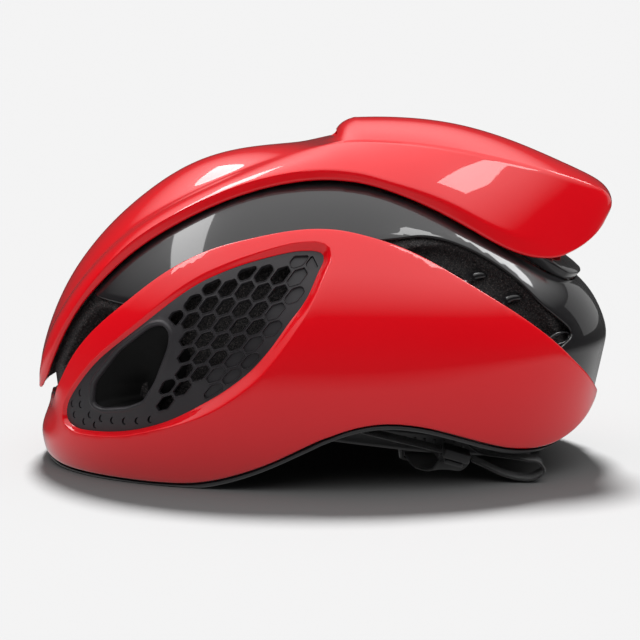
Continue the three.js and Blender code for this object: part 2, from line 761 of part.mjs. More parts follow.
for (const [name, side] of [['grille_left', 1], ['grille_right', -1]]) {
  const inner = GRILLE_INSET + GRILLE_THICKNESS;
  const panel = leafSolid(side, 1.5, GRILLE_INSET, inner, 17, 1);
  const cutters = [...openCells(), DUCT_OUTLINE].map(
    (outline) => shaft(side, outline, GRILLE_INSET - 3, inner + 6),
  );
  addPart(name, subtract(panel, cutters), 'matte');
}


// ---------------------------------------------------------------- pads

const PAD = { thickness: 7, gap: 1.8 };

// Pad on the head space's wall between two plan angles and two heights.
function wallPad(angles, heights, columns, rows) {
  const grid = (inset) => Array.from({ length: columns }, (_, i) => Array.from(
    { length: rows },
    (__, j) => headSurface(
      lerp(angles[0], angles[1], i / (columns - 1)),
      lerp(heights[0], heights[1], j / (rows - 1)),
      inset,
    ),
  ));
  return sheetSolid(grid(PAD.gap), grid(PAD.gap + PAD.thickness));
}

// Pad over the crown, given in plan.
function crownPad(halfWidth, fromY, toY) {
  const columns = 9;
  const height = (x, y, inset) => {
    const reach = ((Math.abs(x) / HEAD.halfWidth) ** PLAN_POWER
      + (Math.abs(y - HEAD.middleY) / HEAD.halfLength) ** PLAN_POWER) ** (1 / PLAN_POWER);
    const rise = (HEAD.topZ - HEAD.springZ) * Math.sqrt(1 - reach * reach);
    return vec(x, y, HEAD.springZ + rise - inset);
  };
  const grid = (inset) => Array.from({ length: columns }, (_, i) => {
    const y = lerp(fromY, toY, i / (columns - 1));
    const width = halfWidth * Math.sqrt(Math.max(0.2, 1 - ((2 * i) / (columns - 1) - 1) ** 4));
    return [-1, 0, 1].map((t) => height(width * t, y, inset));
  });
  return sheetSolid(grid(1.2), grid(1.2 + PAD.thickness));
}

addPart('brow_pad', wallPad([-54, 54], [20, 40], 17, 3), 'pad');
addPart('side_pad_left', wallPad([74, 108], [66, 90], 7, 4), 'pad');
addPart('side_pad_right', wallPad([-74, -108], [66, 90], 7, 4), 'pad');
addPart('rear_pad_left', wallPad([140, 166], [78, 98], 6, 4), 'pad');
addPart('rear_pad_right', wallPad([-140, -166], [78, 98], 6, 4), 'pad');
addPart('crown_pad_front', crownPad(13, -52, 10), 'pad');

// ---------------------------------------------------------------- webbing

const WEBBING = { width: 15, thickness: 1.4 };

// Flat strap along a hand-set route: [[x y z], [direction of its width]], on one side.
function webbing(route, side, perSpan) {
  const points = route.map(([point]) => vec(...point));
  const widths = route.map(([, width]) => vec(...width));
  const path = new THREE.CatmullRomCurve3(points, false, 'catmullrom', 0.5);
  const turn = new THREE.CatmullRomCurve3(widths, false, 'catmullrom', 0.5);
  const count = (route.length - 1) * perSpan;
  const loops = Array.from({ length: count + 1 }, (_, i) => {
    const t = i / count;
    const centre = path.getPoint(t);
    const tangent = path.getTangent(t);
    const across = turn.getPoint(t);
    across.addScaledVector(tangent, -across.dot(tangent)).normalize();
    const through = tangent.clone().cross(across).normalize();
    const corner = (u, v) => {
      const point = centre.clone()
        .addScaledVector(across, u * WEBBING.width / 2)
        .addScaledVector(through, v * WEBBING.thickness / 2);
      return vec(point.x * side, point.y, point.z);
    };
    return [corner(-1, -1), corner(1, -1), corner(1, 1), corner(-1, 1)];
  });
  return loftSolid(loops);
}

const ALONG_X = [1, 0, 0];
const ALONG_Y = [0, 1, 0];
// From the anchor on the side wall down through the ear arch to the divider.
const FRONT_STRAP = [
  [[76.5, -24, 42], ALONG_Y],
  [[75.5, -20, 36], [0.15, 1, 0]],
  [[73.5, -10, 31.5], [0.6, 0.8, 0]],
  [[70.5, 4, 27.5], [0.95, 0.3, 0]],
  [[69.5, 18, 24], ALONG_X],
  [[69.5, 32, 20.5], ALONG_X],
  [[69.5, 44, 17.6], ALONG_X],
  [[69.5, 55.4, 14.7], ALONG_X],
];
// From the divider down to the floor, round in a slack loop and up to the rear anchor.
const REAR_STRAP = [
  [[70, 70.2, 10.4], ALONG_X],
  [[70.3, 76, 7.8], ALONG_X],
  [[70.5, 83, 4.4], ALONG_X],
  [[70.5, 91, 1.9], ALONG_X],
  [[70.5, 99, 1.5], ALONG_X],
  [[70, 104.2, 4.6], ALONG_X],
  [[68.8, 102.6, 8.6], [1, -0.1, 0]],
  [[66.2, 95.5, 10.2], [1, -0.2, 0]],
  [[62.5, 86.5, 11], [0.95, -0.35, 0]],
  [[58, 77.8, 12], [0.8, -0.6, 0]],
  [[55.2, 72.8, 17.6], [0.68, -0.73, 0]],
  [[55.3, 71.5, 28], [0.62, -0.78, 0]],
  [[55.3, 71.5, 38], [0.62, -0.78, 0]],
];
// From the divider down outside the retention band and across the floor to the buckle.
const CHIN_STRAP = [
  [[60.6, 62.5, 10], ALONG_Y],
  [[58.4, 61.5, 5.4], ALONG_Y],
  [[53, 58, 1.9], ALONG_Y],
  [[46, 51.5, 1.8], ALONG_Y],
  [[39, 48, 3.4], ALONG_Y],
  [[32, 47, 4.3], ALONG_Y],
  [[23.2, 47, 4.4], ALONG_Y],
];

const SIDES = [['left', 1], ['right', -1]];
for (const [word, side] of SIDES) {
  addPart(`front_strap_${word}`, webbing(FRONT_STRAP, side, 2), 'webbing');
  addPart(`rear_strap_${word}`, webbing(REAR_STRAP, side, 2), 'webbing');
  addPart(`chin_strap_${word}`, webbing(CHIN_STRAP, side, 2), 'webbing');
}

// ---------------------------------------------------------------- plain solids

// Block with rounded corners in one plane, extruded along an axis and placed by its middle.
function block(width, height, depth, radius, place) {
  const shape = new THREE.Shape();
  const [w, h] = [width / 2, height / 2];
  shape.moveTo(-w + radius, -h);
  shape.lineTo(w - radius, -h);
  shape.absarc(w - radius, -h + radius, radius, -Math.PI / 2, 0);
  shape.lineTo(w, h - radius);
  shape.absarc(w - radius, h - radius, radius, 0, Math.PI / 2);
  shape.lineTo(-w + radius, h);
  shape.absarc(-w + radius, h - radius, radius, Math.PI / 2, Math.PI);
  shape.lineTo(-w, -h + radius);
  shape.absarc(-w + radius, -h + radius, radius, Math.PI, Math.PI * 1.5);
  const settings = { depth, bevelEnabled: false, curveSegments: 2 };
  const geometry = new THREE.ExtrudeGeometry(shape, settings);
  geometry.translate(0, 0, -depth / 2);
  place(geometry);
  geometry.deleteAttribute('normal');
  geometry.deleteAttribute('uv');
  return mergeVertices(geometry, 1e-3);
}

// Facing along y: width in x and height in z.
const facingY = (x, y, z) => (geometry) => geometry.rotateX(Math.PI / 2).translate(x, y, z);
// Facing along x: width in y and height in z.
const facingX = (x, y, z, turn = 0) => (geometry) => geometry
  .rotateX(Math.PI / 2).rotateZ(Math.PI / 2 + turn).translate(x, y, z);
const facingZ = (x, y, z) => (geometry) => geometry.translate(x, y, z);

function disc(radius, depth, segments, place) {
  const geometry = new THREE.CylinderGeometry(radius, radius, depth, segments);
  place(geometry);
  geometry.deleteAttribute('normal');
  geometry.deleteAttribute('uv');
  return mergeVertices(geometry, 1e-3);
}

// ---------------------------------------------------------------- strap fittings

// Anchor plates on the wall of the head space, just above each strap's upper end.
for (const [word, side] of SIDES) {
  const front = facingX(side * 76.6, -25, 51.5, side * -0.1);
  addPart(`front_anchor_${word}`, block(18, 8, 2.6, 1.5, front), 'matte');
  const rear = facingX(side * 55.8, 71.9, 43, side * 0.67);
  addPart(`rear_anchor_${word}`, block(18, 8, 2.6, 1.5, rear), 'matte');
}

// Strap divider: a flat box where the three straps meet, with a clamping lever under it.
const DIVIDER = { x: 69.8, y: 62.8, z: 12.6, length: 13, width: 16.5, height: 4.6, tilt: -0.28 };
const LEVER = { length: 9, width: 15, thickness: 2, below: 3.8, forward: 0.5 };

for (const [word, side] of SIDES) {
  const inPlace = (geometry) => geometry.rotateX(DIVIDER.tilt)
    .translate(side * DIVIDER.x, DIVIDER.y, DIVIDER.z);
  const body = block(DIVIDER.width, DIVIDER.length, DIVIDER.height, 1.5, inPlace);
  addPart(`strap_divider_${word}`, body, 'matte');
  const beneath = (geometry) => inPlace(geometry.translate(0, -LEVER.forward, -LEVER.below));
  const lever = block(LEVER.width, LEVER.length, LEVER.thickness, 1.2, beneath);
  addPart(`divider_lever_${word}`, lever, 'matte');
}

// Buckle on the floor: the right half slides out of the left half towards the front.
const BUCKLE = { y: 47, z: 4.4, width: 20, height: 7.6, wall: 1.6 };
const SOCKET = { fromX: -2, toX: 22 };
const TONGUE = { fromX: -22, stepX: -2.6, toX: 17.4, width: 13.4 };

function spanBlock(fromX, toX, fromY, toY, height, radius) {
  const middle = facingZ((fromX + toX) / 2, (fromY + toY) / 2, BUCKLE.z);
  return block(toX - fromX, toY - fromY, height, radius, middle);
}

function buckleSocket() {
  const [front, back] = [BUCKLE.y - BUCKLE.width / 2, BUCKLE.y + BUCKLE.width / 2];
  const shell = spanBlock(SOCKET.fromX, SOCKET.toX, front, back, BUCKLE.height, 2.5);
  const inside = BUCKLE.height - 2 * BUCKLE.wall;
  const hollow = spanBlock(SOCKET.fromX - 9, SOCKET.toX - 4, front - 9, back - 2.4, inside, 0.6);
  return subtract(shell, [hollow]);
}

function buckleTongue() {
  const [front, back] = [BUCKLE.y - BUCKLE.width / 2, BUCKLE.y + BUCKLE.width / 2];
  const inside = BUCKLE.height - 2 * BUCKLE.wall - 2 * GAP;
  const grip = spanBlock(TONGUE.fromX, TONGUE.stepX, front, back, BUCKLE.height, 2.5);
  const reach = spanBlock(
    TONGUE.stepX - 4, TONGUE.toX, front + 1, front + 1 + TONGUE.width, inside, 0.6,
  );
  return unite([grip, reach]);
}

// Rubber ring round the left chin strap that keeps its loose end in place.
function keeperGeometry() {
  const ring = block(18.6, 5.4, 4, 1.6, facingX(30, BUCKLE.y, BUCKLE.z));
  const hole = block(16.2, 2.8, 8, 0.6, facingX(30, BUCKLE.y, BUCKLE.z));
  return subtract(ring, [hole]);
}
addPart('buckle_socket', buckleSocket(), 'matte');
addPart('buckle_tongue', buckleTongue(), 'matte');
addPart('strap_keeper', keeperGeometry(), 'matte');

// ---------------------------------------------------------------- retention

const DIAL = { z: 13.5, knobRadius: 12.6, pinionRadius: 4.2 };
const HOUSING = { halfWidth: 22, height: 26.4, frontY: 92, backY: 103, radius: 5 };
const RACK_SLOT = { lowZ: 4.2, highZ: 22.8, frontY: 95.2, backY: 98.2 };
const BAND_THICKNESS = 1.4;

function housingGeometry() {
  const depth = HOUSING.backY - HOUSING.frontY;
  const outer = block(
    HOUSING.halfWidth * 2, HOUSING.height, depth, HOUSING.radius,
    facingY(0, HOUSING.frontY + depth / 2, HOUSING.height / 2),
  );
  const slotDepth = RACK_SLOT.backY - RACK_SLOT.frontY;
  const slot = block(
    HOUSING.halfWidth * 2 + 4, RACK_SLOT.highZ - RACK_SLOT.lowZ, slotDepth, 0.5,
    facingY(0, RACK_SLOT.frontY + slotDepth / 2, DIAL.z),
  );
  const bore = disc(3, 12, 12, (geometry) => geometry.translate(0, RACK_SLOT.backY + 5, DIAL.z));
  return subtract(outer, [slot, bore]);
}

// Toothed or scalloped wheel about the y axis.
function wheel(radius, teeth, toothDepth, fromY, depth) {
  const shape = new THREE.Shape();
  for (let i = 0; i <= teeth * 2; i += 1) {
    const angle = i / (teeth * 2) * Math.PI * 2;
    const r = i % 2 ? radius : radius - toothDepth;
    const [x, z] = [r * Math.sin(angle), r * Math.cos(angle)];
    if (i === 0) {
      shape.moveTo(x, z);
    } else if (i < teeth * 2) {
      shape.lineTo(x, z);
    }
  }
  shape.closePath();
  const geometry = new THREE.ExtrudeGeometry(shape, { depth, bevelEnabled: false });
  geometry.rotateX(Math.PI / 2).translate(0, fromY + depth, DIAL.z);
  geometry.deleteAttribute('normal');
  geometry.deleteAttribute('uv');
  return mergeVertices(geometry, 1e-3);
}

function pinionGeometry() {
  const shaftPart = disc(2.6, 6.4, 12, (geometry) => geometry.translate(0, 101.1, DIAL.z));
  return unite([wheel(DIAL.pinionRadius, 8, 0.9, 95.6, 2.3), shaftPart]);
}
addPart('dial_housing', housingGeometry(), 'matte');
addPart('dial_pinion', pinionGeometry(), 'matte');
addPart('dial_knob', wheel(DIAL.knobRadius, 20, 0.8, 104.8, 7), 'matte');

// Retention band: rack through the housing, then round the head to the temple.
// [x, y, low z, high z] for the left band; the right one has its rack under the pinion.
const BAND_SIDE = [
  [45.8, 84, 7, 17], [47.5, 73, 7.5, 17.5], [50.5, 61, 8.5, 18.5], [54, 45, 10.5, 20.5],
  [57.5, 25, 13.5, 23.5], [60, 5, 16.5, 26.5], [63.5, -15, 20, 30], [66.5, -32, 22.5, 32.5],
  [67.5, -46, 24, 34],
];
const RACK_Y = 96.7;
const RACK_UPPER = [[-8, 18.2, 22], [14, 18.2, 22], [36, 18.2, 22]];
const RACK_LOWER = [[-8, 5, 8.8], [14, 5, 8.8], [36, 5, 8.8]];

function bandGeometry(side, rack, shoulder) {
  const stations = [
    ...rack.map(([x, low, high]) => [x, RACK_Y, low, high]),
    ...shoulder,
    ...BAND_SIDE,
  ];
  const low = new THREE.CatmullRomCurve3(stations.map(([x, y, z]) => vec(x, y, z)));
  const high = new THREE.CatmullRomCurve3(stations.map(([x, y, , z]) => vec(x, y, z)));
  const count = (stations.length - 1) * 2;
  const loops = Array.from({ length: count + 1 }, (_, i) => {
    const t = i / count;
    const foot = low.getPoint(t);
    const head = high.getPoint(t);
    const tangent = low.getTangent(t).setZ(0).normalize();
    const through = vec(-tangent.y, tangent.x, 0).multiplyScalar(BAND_THICKNESS / 2);
    return [
      foot.clone().sub(through), foot.clone().add(through),
      head.clone().add(through), head.clone().sub(through),
    ].map((point) => vec(point.x * side, point.y, point.z));
  });
  return loftSolid(loops);
}
addPart(
  'band_left',
  bandGeometry(1, RACK_UPPER, [[41.5, 95, 10, 19.5], [44.6, 90.5, 7.6, 17.6]]),
  'matte',
);
addPart(
  'band_right',
  bandGeometry(-1, RACK_LOWER, [[41.5, 95, 5, 14], [44.6, 90.5, 6.4, 16]]),
  'matte',
);

// Cradle behind the head: a T-shaped plate whose stem slides in a guide on the liner.
const STEM = { width: 12, frontY: 89.6, backY: 91.2, topZ: 74 };
const GUIDE = { z: 60, height: 12, width: 19, frontY: 87.6, backY: 96.2 };

function cradleGeometry() {
  const depth = STEM.backY - STEM.frontY;
  const middleY = (STEM.frontY + STEM.backY) / 2;
  const plate = block(54, 20, depth, 6, facingY(0, middleY, 14));
  const stem = block(STEM.width, STEM.topZ - 10, depth, 3, facingY(0, middleY, (STEM.topZ + 10) / 2));
  return unite([plate, stem]);
}

function guideGeometry() {
  const depth = GUIDE.backY - GUIDE.frontY;
  const body = block(GUIDE.width, GUIDE.height, depth, 1.5, facingY(0, GUIDE.frontY + depth / 2, GUIDE.z));
  const slotDepth = STEM.backY - STEM.frontY + 1.8;
  const slot = block(
    STEM.width + 1, GUIDE.height + 4, slotDepth, 0.3,
    facingY(0, (STEM.frontY + STEM.backY) / 2, GUIDE.z),
  );
  return subtract(body, [slot]);
}
addPart('cradle', cradleGeometry(), 'matte');
addPart('height_guide', guideGeometry(), 'matte');
addPart('cradle_pad', block(50, 16, 4.6, 5, facingY(0, STEM.frontY - 2.8, 14)), 'pad');

// Temple anchors that carry the front ends of the bands.
for (const [word, side] of SIDES) {
  addPart(
    `temple_anchor_${word}`,
    block(9, 9, 5.6, 1.5, facingX(side * 71.6, -45, 29)),
    'matte',
  );
}

export default helmet;
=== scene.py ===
"""Aero road cycling helmet: looks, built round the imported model. Metres, +Z up, front -Y, left +X."""
import math

import bpy
import bmesh
import numpy as np
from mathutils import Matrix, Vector
from mathutils.geometry import delaunay_2d_cdt


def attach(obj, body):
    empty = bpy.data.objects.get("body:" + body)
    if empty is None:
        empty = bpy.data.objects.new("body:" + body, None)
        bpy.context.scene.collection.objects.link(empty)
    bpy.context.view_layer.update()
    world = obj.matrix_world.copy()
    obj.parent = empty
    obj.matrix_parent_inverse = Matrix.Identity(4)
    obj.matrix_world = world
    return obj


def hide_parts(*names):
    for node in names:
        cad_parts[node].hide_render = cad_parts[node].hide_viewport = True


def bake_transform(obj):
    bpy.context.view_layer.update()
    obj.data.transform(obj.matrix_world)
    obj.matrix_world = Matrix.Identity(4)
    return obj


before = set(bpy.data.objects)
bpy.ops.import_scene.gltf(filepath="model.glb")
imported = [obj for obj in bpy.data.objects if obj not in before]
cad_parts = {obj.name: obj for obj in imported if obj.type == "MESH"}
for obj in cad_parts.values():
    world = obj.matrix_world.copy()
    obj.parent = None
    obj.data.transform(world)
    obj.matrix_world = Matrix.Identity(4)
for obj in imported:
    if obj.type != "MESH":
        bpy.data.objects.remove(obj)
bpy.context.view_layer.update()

MM = 0.001
SIDES = (("left", 1.0), ("right", -1.0))
HELMET_MIDDLE = (0, 0, 40)
MERGE_DISTANCE = 1e-6
# Flat fills: row pitch, distance kept from outlines, points along outlines, all in point spacings.
TRIANGLE_ROW, OUTLINE_CLEARANCE, OUTLINE_STEP = 0.866, 0.55, 0.6

# ------------------------------------------------------------------ curves


def catmull(points, t, closed=False, power=0.25):
    """Points of a Catmull-Rom spline at each t from 0 to 1, centripetal, or uniform with power 0."""
    p = np.asarray(points, float)
    n = len(p)
    t = np.atleast_1d(np.asarray(t, float))
    q = (n - (0 if closed else 1)) * t
    i = np.floor(q).astype(int)
    w = q - i
    if closed:
        p0, p1, p2, p3 = (p[(i + k) % n] for k in (-1, 0, 1, 2))
    else:
        last = i >= n - 1
        i[last] = n - 2
        w[last] = 1.0
        padded = np.vstack([2 * p[0] - p[1], p, 2 * p[-1] - p[-2]])
        p0, p1, p2, p3 = (padded[i + k] for k in range(4))
    if power:
        d = [np.sum((b - a) ** 2, axis=1) ** power for a, b in ((p0, p1), (p1, p2), (p2, p3))]
        d[1][d[1] < 1e-4] = 1.0
        d[0] = np.where(d[0] < 1e-4, d[1], d[0])
        d[2] = np.where(d[2] < 1e-4, d[1], d[2])
        d0, d1, d2 = (x[:, None] for x in d)
        m1 = ((p1 - p0) / d0 - (p2 - p0) / (d0 + d1) + (p2 - p1) / d1) * d1
        m2 = ((p2 - p1) / d1 - (p3 - p1) / (d1 + d2) + (p3 - p2) / d2) * d1
    else:
        m1 = (p2 - p0) / 2
        m2 = (p3 - p1) / 2
    w = w[:, None]
    c2 = -3 * p1 + 3 * p2 - 2 * m1 - m2
    c3 = 2 * p1 - 2 * p2 + m1 + m2
    return p1 + m1 * w + c2 * w * w + c3 * w ** 3


def blur(values, sigma, closed=False):
    """Gaussian smoothing along the first axis that keeps both ends, or wraps round."""
    v = np.asarray(values, float)
    if sigma <= 0:
        return v
    reach = max(1, int(round(sigma * 3)))
    kernel = np.exp(-0.5 * (np.arange(-reach, reach + 1) / sigma) ** 2)
    kernel /= kernel.sum()
    if closed:
        head, tail = v[-reach:], v[:reach]
    else:
        reach_ok = min(reach, len(v) - 1)
        head = 2 * v[0] - v[reach_ok:0:-1]
        tail = 2 * v[-1] - v[-2:-2 - reach_ok:-1]
        if reach_ok < reach:
            head = np.concatenate([np.repeat(head[:1], reach - reach_ok, axis=0), head])
            tail = np.concatenate([tail, np.repeat(tail[-1:], reach - reach_ok, axis=0)])
    full = np.concatenate([head, v, tail])
    rows = full.reshape(len(full), -1).T
    return np.stack([np.convolve(row, kernel, mode="valid") for row in rows], 1).reshape(v.shape)


def resample(points, count, closed=False):
    """Evenly spaced points along a polyline."""
    p = np.asarray(points, float)
    if closed:
        p = np.vstack([p, p[:1]])
    d = np.concatenate([[0], np.cumsum(np.linalg.norm(np.diff(p, axis=0), axis=1))])
    at = np.linspace(0, d[-1], count + (1 if closed else 0))
    out = np.stack([np.interp(at, d, p[:, k]) for k in range(p.shape[1])], 1)
    return out[:-1] if closed else out


def smooth(a, b, t):
    x = np.clip((np.asarray(t, float) - a) / (b - a), 0, 1)
    return x * x * (3 - 2 * x)


def lerp(a, b, t):
    return a + (b - a) * t


def unit(vectors):
    """Vectors along the last axis brought to length 1."""
    return vectors / np.maximum(np.linalg.norm(vectors, axis=-1, keepdims=True), 1e-9)


# ------------------------------------------------------------------ outer dome

PLAN_POWER = 2.2
FRONT_DIP = 5.5
FRONT_PROFILE = [
    (139.5, -4), (142.6, 3), (144.6, 12), (145.2, 25), (145, 38), (143.2, 55), (138.2, 73.5),
    (132, 86), (123.5, 99.6), (113.2, 113), (97, 128.6), (82.5, 140), (68, 148.5), (54, 153.4),
    (40, 155.9), (26, 157.6), (12, 158.7), (0, 159),
]
SIDE_PROFILE = [
    (97.5, -4), (99, 4), (102, 20), (104.2, 40), (105, 58), (104.3, 70), (101.5, 84), (96, 98),
    (87.8, 112), (78.6, 124), (65.8, 136), (51.5, 145.5), (34, 153), (17, 157.6), (0, 159),
]
REAR_CROWN = [(78, 132), (58, 142.5), (36, 151.5), (18, 156.8), (0, 159)]
REAR_PROFILE = [
    (133, -4), (136.6, 20), (138.6, 34), (140.8, 44), (143, 54.5), (144.5, 62), (144.2, 67), (141.3, 76),
    (136.4, 85), (129.8, 92.5), (116, 103.5), (98, 118.5), *REAR_CROWN,
]
# The back of the plain solids, which the foam liner's outer face starts from.
SOLID_REAR_PROFILE = [
    (133, -4), (137, 20), (139, 34), (143, 45), (146.3, 56), (146, 65), (142, 75), (134, 84),
    (124, 93), (112, 104), (96, 119), *REAR_CROWN,
]
PROFILE_SMOOTHING = ((FRONT_PROFILE, 22), (SIDE_PROFILE, 26), (REAR_PROFILE, 8))
SOLID_REAR_SMOOTHING = 14


def profile_table(profile, sigma):
    """Heights and horizontal radii of the profile, smoothed along its length."""
    curve = blur(resample(catmull(profile, np.linspace(0, 1, 1200)), 900), sigma)
    return curve[:, 1], curve[:, 0]


FRONT_TABLE, SIDE_TABLE, REAR_TABLE = (profile_table(*row) for row in PROFILE_SMOOTHING)
SOLID_REAR_TABLE = profile_table(SOLID_REAR_PROFILE, SOLID_REAR_SMOOTHING)


def radius(table, z):
    return np.interp(z, table[0], table[1])


def signed_power(v, power):
    return np.sign(v) * np.abs(v) ** power


def dome_surface(angle, z):
    """Outer skin by plan angle (0 at the front, 90 at the left) and height."""
    angle, z = np.broadcast_arrays(np.asarray(angle, float), np.asarray(z, float))
    a = np.radians(angle)
    s, c = np.sin(a), np.cos(a)
    length = np.where(c > 0, radius(FRONT_TABLE, z), radius(REAR_TABLE, z))
    x = radius(SIDE_TABLE, z) * signed_power(s, 2 / PLAN_POWER)
    y = -length * signed_power(c, 2 / PLAN_POWER)
    turned = np.abs((angle + 180) % 360 - 180)
    dip = FRONT_DIP * (1 - smooth(8, 32, turned)) * smooth(12, 32, z) * (1 - smooth(34, 44, z))
    return np.stack([x, y + dip, z], -1)


def dome_normal(angle, z, step=0.6):
    around = dome_surface(angle + step, z) - dome_surface(angle - step, z)
    up = dome_surface(angle, z + step) - dome_surface(angle, z - step)
    return unit(np.cross(around, up))


def dome(angle, z, inset=0.0):
    angle, z = np.broadcast_arrays(np.asarray(angle, float), np.asarray(z, float))
    return dome_surface(angle, z) - dome_normal(angle, z) * np.asarray(inset, float)[..., None]


def angle_at(y, z):
    """Plan angle of the skin's left side at a place in the side view."""
    y, z = np.broadcast_arrays(np.asarray(y, float), np.asarray(z, float))
    length = np.where(y < 0, radius(FRONT_TABLE, z), radius(REAR_TABLE, z))
    c = np.minimum(1, np.abs(y) / length) ** (PLAN_POWER / 2)
    return np.degrees(np.arccos(np.where(y < 0, c, -c)))


def plan_points(points):
    """Side-view rows (y, z, ...) as rows (plan angle, z, ...)."""
    rows = np.array(points, float)
    rows[:, 0] = angle_at(rows[:, 0], rows[:, 1])
    return rows


def round_the_back(half, back):
    """Left rows by plan angle, joined to their mirror image through a row at the back."""
    other = half[::-1].copy()
    other[:, 0] = 360 - other[:, 0]
    return np.vstack([half, [back], other])


# ------------------------------------------------------------------ meshes


def make_object(name, verts, faces, material, smooth_shade=True):
    mesh = bpy.data.meshes.new(name)
    mesh.from_pydata([tuple(v) for v in (np.asarray(verts) * MM)], [], faces)
    mesh.update()
    mesh.polygons.foreach_set("use_smooth", [smooth_shade] * len(mesh.polygons))
    obj = bpy.data.objects.new(name, mesh)
    bpy.context.scene.collection.objects.link(obj)
    if material is not None:
        mesh.materials.append(material)
    return obj


def fix_normals(obj):
    bm = bmesh.new()
    bm.from_mesh(obj.data)
    bmesh.ops.remove_doubles(bm, verts=bm.verts, dist=MERGE_DISTANCE)
    bmesh.ops.dissolve_degenerate(bm, dist=1e-7, edges=bm.edges)
    bmesh.ops.recalc_face_normals(bm, faces=bm.faces)
    bm.to_mesh(obj.data)
    bm.free()
    obj.data.update()
    return obj


def grid_faces(rows, columns, flip=False):
    faces = []
    for i in range(rows - 1):
        for j in range(columns - 1):
            a, b = i * columns + j, (i + 1) * columns + j
            f = (a, b, b + 1, a + 1)
            faces.append(f[::-1] if flip else f)
    return faces


def boundary_loops(faces):
    """Ordered boundary loops of a face list, running with the faces' own direction."""
    edges = [e for f in faces for e in zip(f, f[1:] + f[:1])]
    known = set(edges)
    after = {a: b for a, b in edges if (b, a) not in known}
    loops = []
    while after:
        start = next(iter(after))
        loop = [start]
        following = after.pop(start)
        while following != start:
            loop.append(following)
            following = after.pop(following)
        loops.append(loop)
    return loops


def shell(verts, normals, faces, thickness, hem_steps=6, hems=()):
    """Closed shell: the skin, its copy on the inside, and a rounded hem round each boundary.

    hems pairs a boundary's test with its own rows of (outwards, inwards) offsets from the skin."""
    v = np.asarray(verts, float)
    n = np.asarray(normals, float)
    total = len(v)
    all_verts = [v, v - n * thickness]
    all_faces = list(faces) + [tuple(total + k for k in reversed(f)) for f in faces]
    offset = 2 * total
    for loop in boundary_loops(faces):
        p = v[loop]
        out = unit(np.cross(np.roll(p, -1, axis=0) - np.roll(p, 1, axis=0), n[loop]))
        given = [rows_of(p) for test, rows_of in hems if test(p)]
        if given:
            rows = given[-1]
        else:
            half = thickness / 2
            angles = np.linspace(0, math.pi, hem_steps + 1)[1:-1]
            rows = [(np.sin(a) * half, (1 - np.cos(a)) * half) for a in angles]
        ring = [list(loop)]
        for outwards, inwards in rows:
            all_verts.append(p + out * np.reshape(outwards, (-1, 1)) - n[loop] * np.reshape(inwards, (-1, 1)))
            ring.append(list(range(offset, offset + len(p))))
            offset += len(p)
        ring.append([total + k for k in loop])
        for a, b in zip(ring[:-1], ring[1:]):
            for i in range(len(loop)):
                k = (i + 1) % len(loop)
                all_faces.append((a[k], a[i], b[i], b[k]))
    return np.vstack(all_verts), all_faces


def outward_normals(grid):
    """Unit normals of a grid that point away from the helmet's middle, and whether they were turned."""
    n = unit(np.cross(np.gradient(grid, axis=0), np.gradient(grid, axis=1)))
    turned = bool(np.sum(n * (grid - np.array(HELMET_MIDDLE))) < 0)
    return (-n if turned else n), turned


def grid_shell(grid, thickness):
    n, turned = outward_normals(grid)
    faces = grid_faces(*grid.shape[:2], flip=turned)
    return shell(grid.reshape(-1, 3), n.reshape(-1, 3), faces, thickness)


def loft(loops, closed=False):
    """Closed solid through equal loops of points, capped at both ends or closed on itself."""
    arr = np.asarray(loops, float)
    rows, columns = arr.shape[:2]
    faces = []
    for i in range(rows if closed else rows - 1):
        k = (i + 1) % rows
        for j in range(columns):
            m = (j + 1) % columns
            faces.append((i * columns + j, k * columns + j, k * columns + m, i * columns + m))
    if not closed:
        faces.append(tuple(range(columns)))
        faces.append(tuple(reversed(range((rows - 1) * columns, rows * columns))))
    return arr.reshape(-1, 3), faces


def only_used(rows, faces):
    """Drops the rows that no face uses."""
    used = sorted({k for f in faces for k in f})
    index = {k: i for i, k in enumerate(used)}
    return rows[used], [tuple(index[k] for k in f) for f in faces]


def merge_parts(parts):
    """Several solids as one list of vertices and one of faces."""
    verts, faces, total = [], [], 0
    for v, f in parts:
        verts.append(np.asarray(v, float))
        faces += [tuple(total + k for k in face) for face in f]
        total += len(v)
    return np.vstack(verts), faces


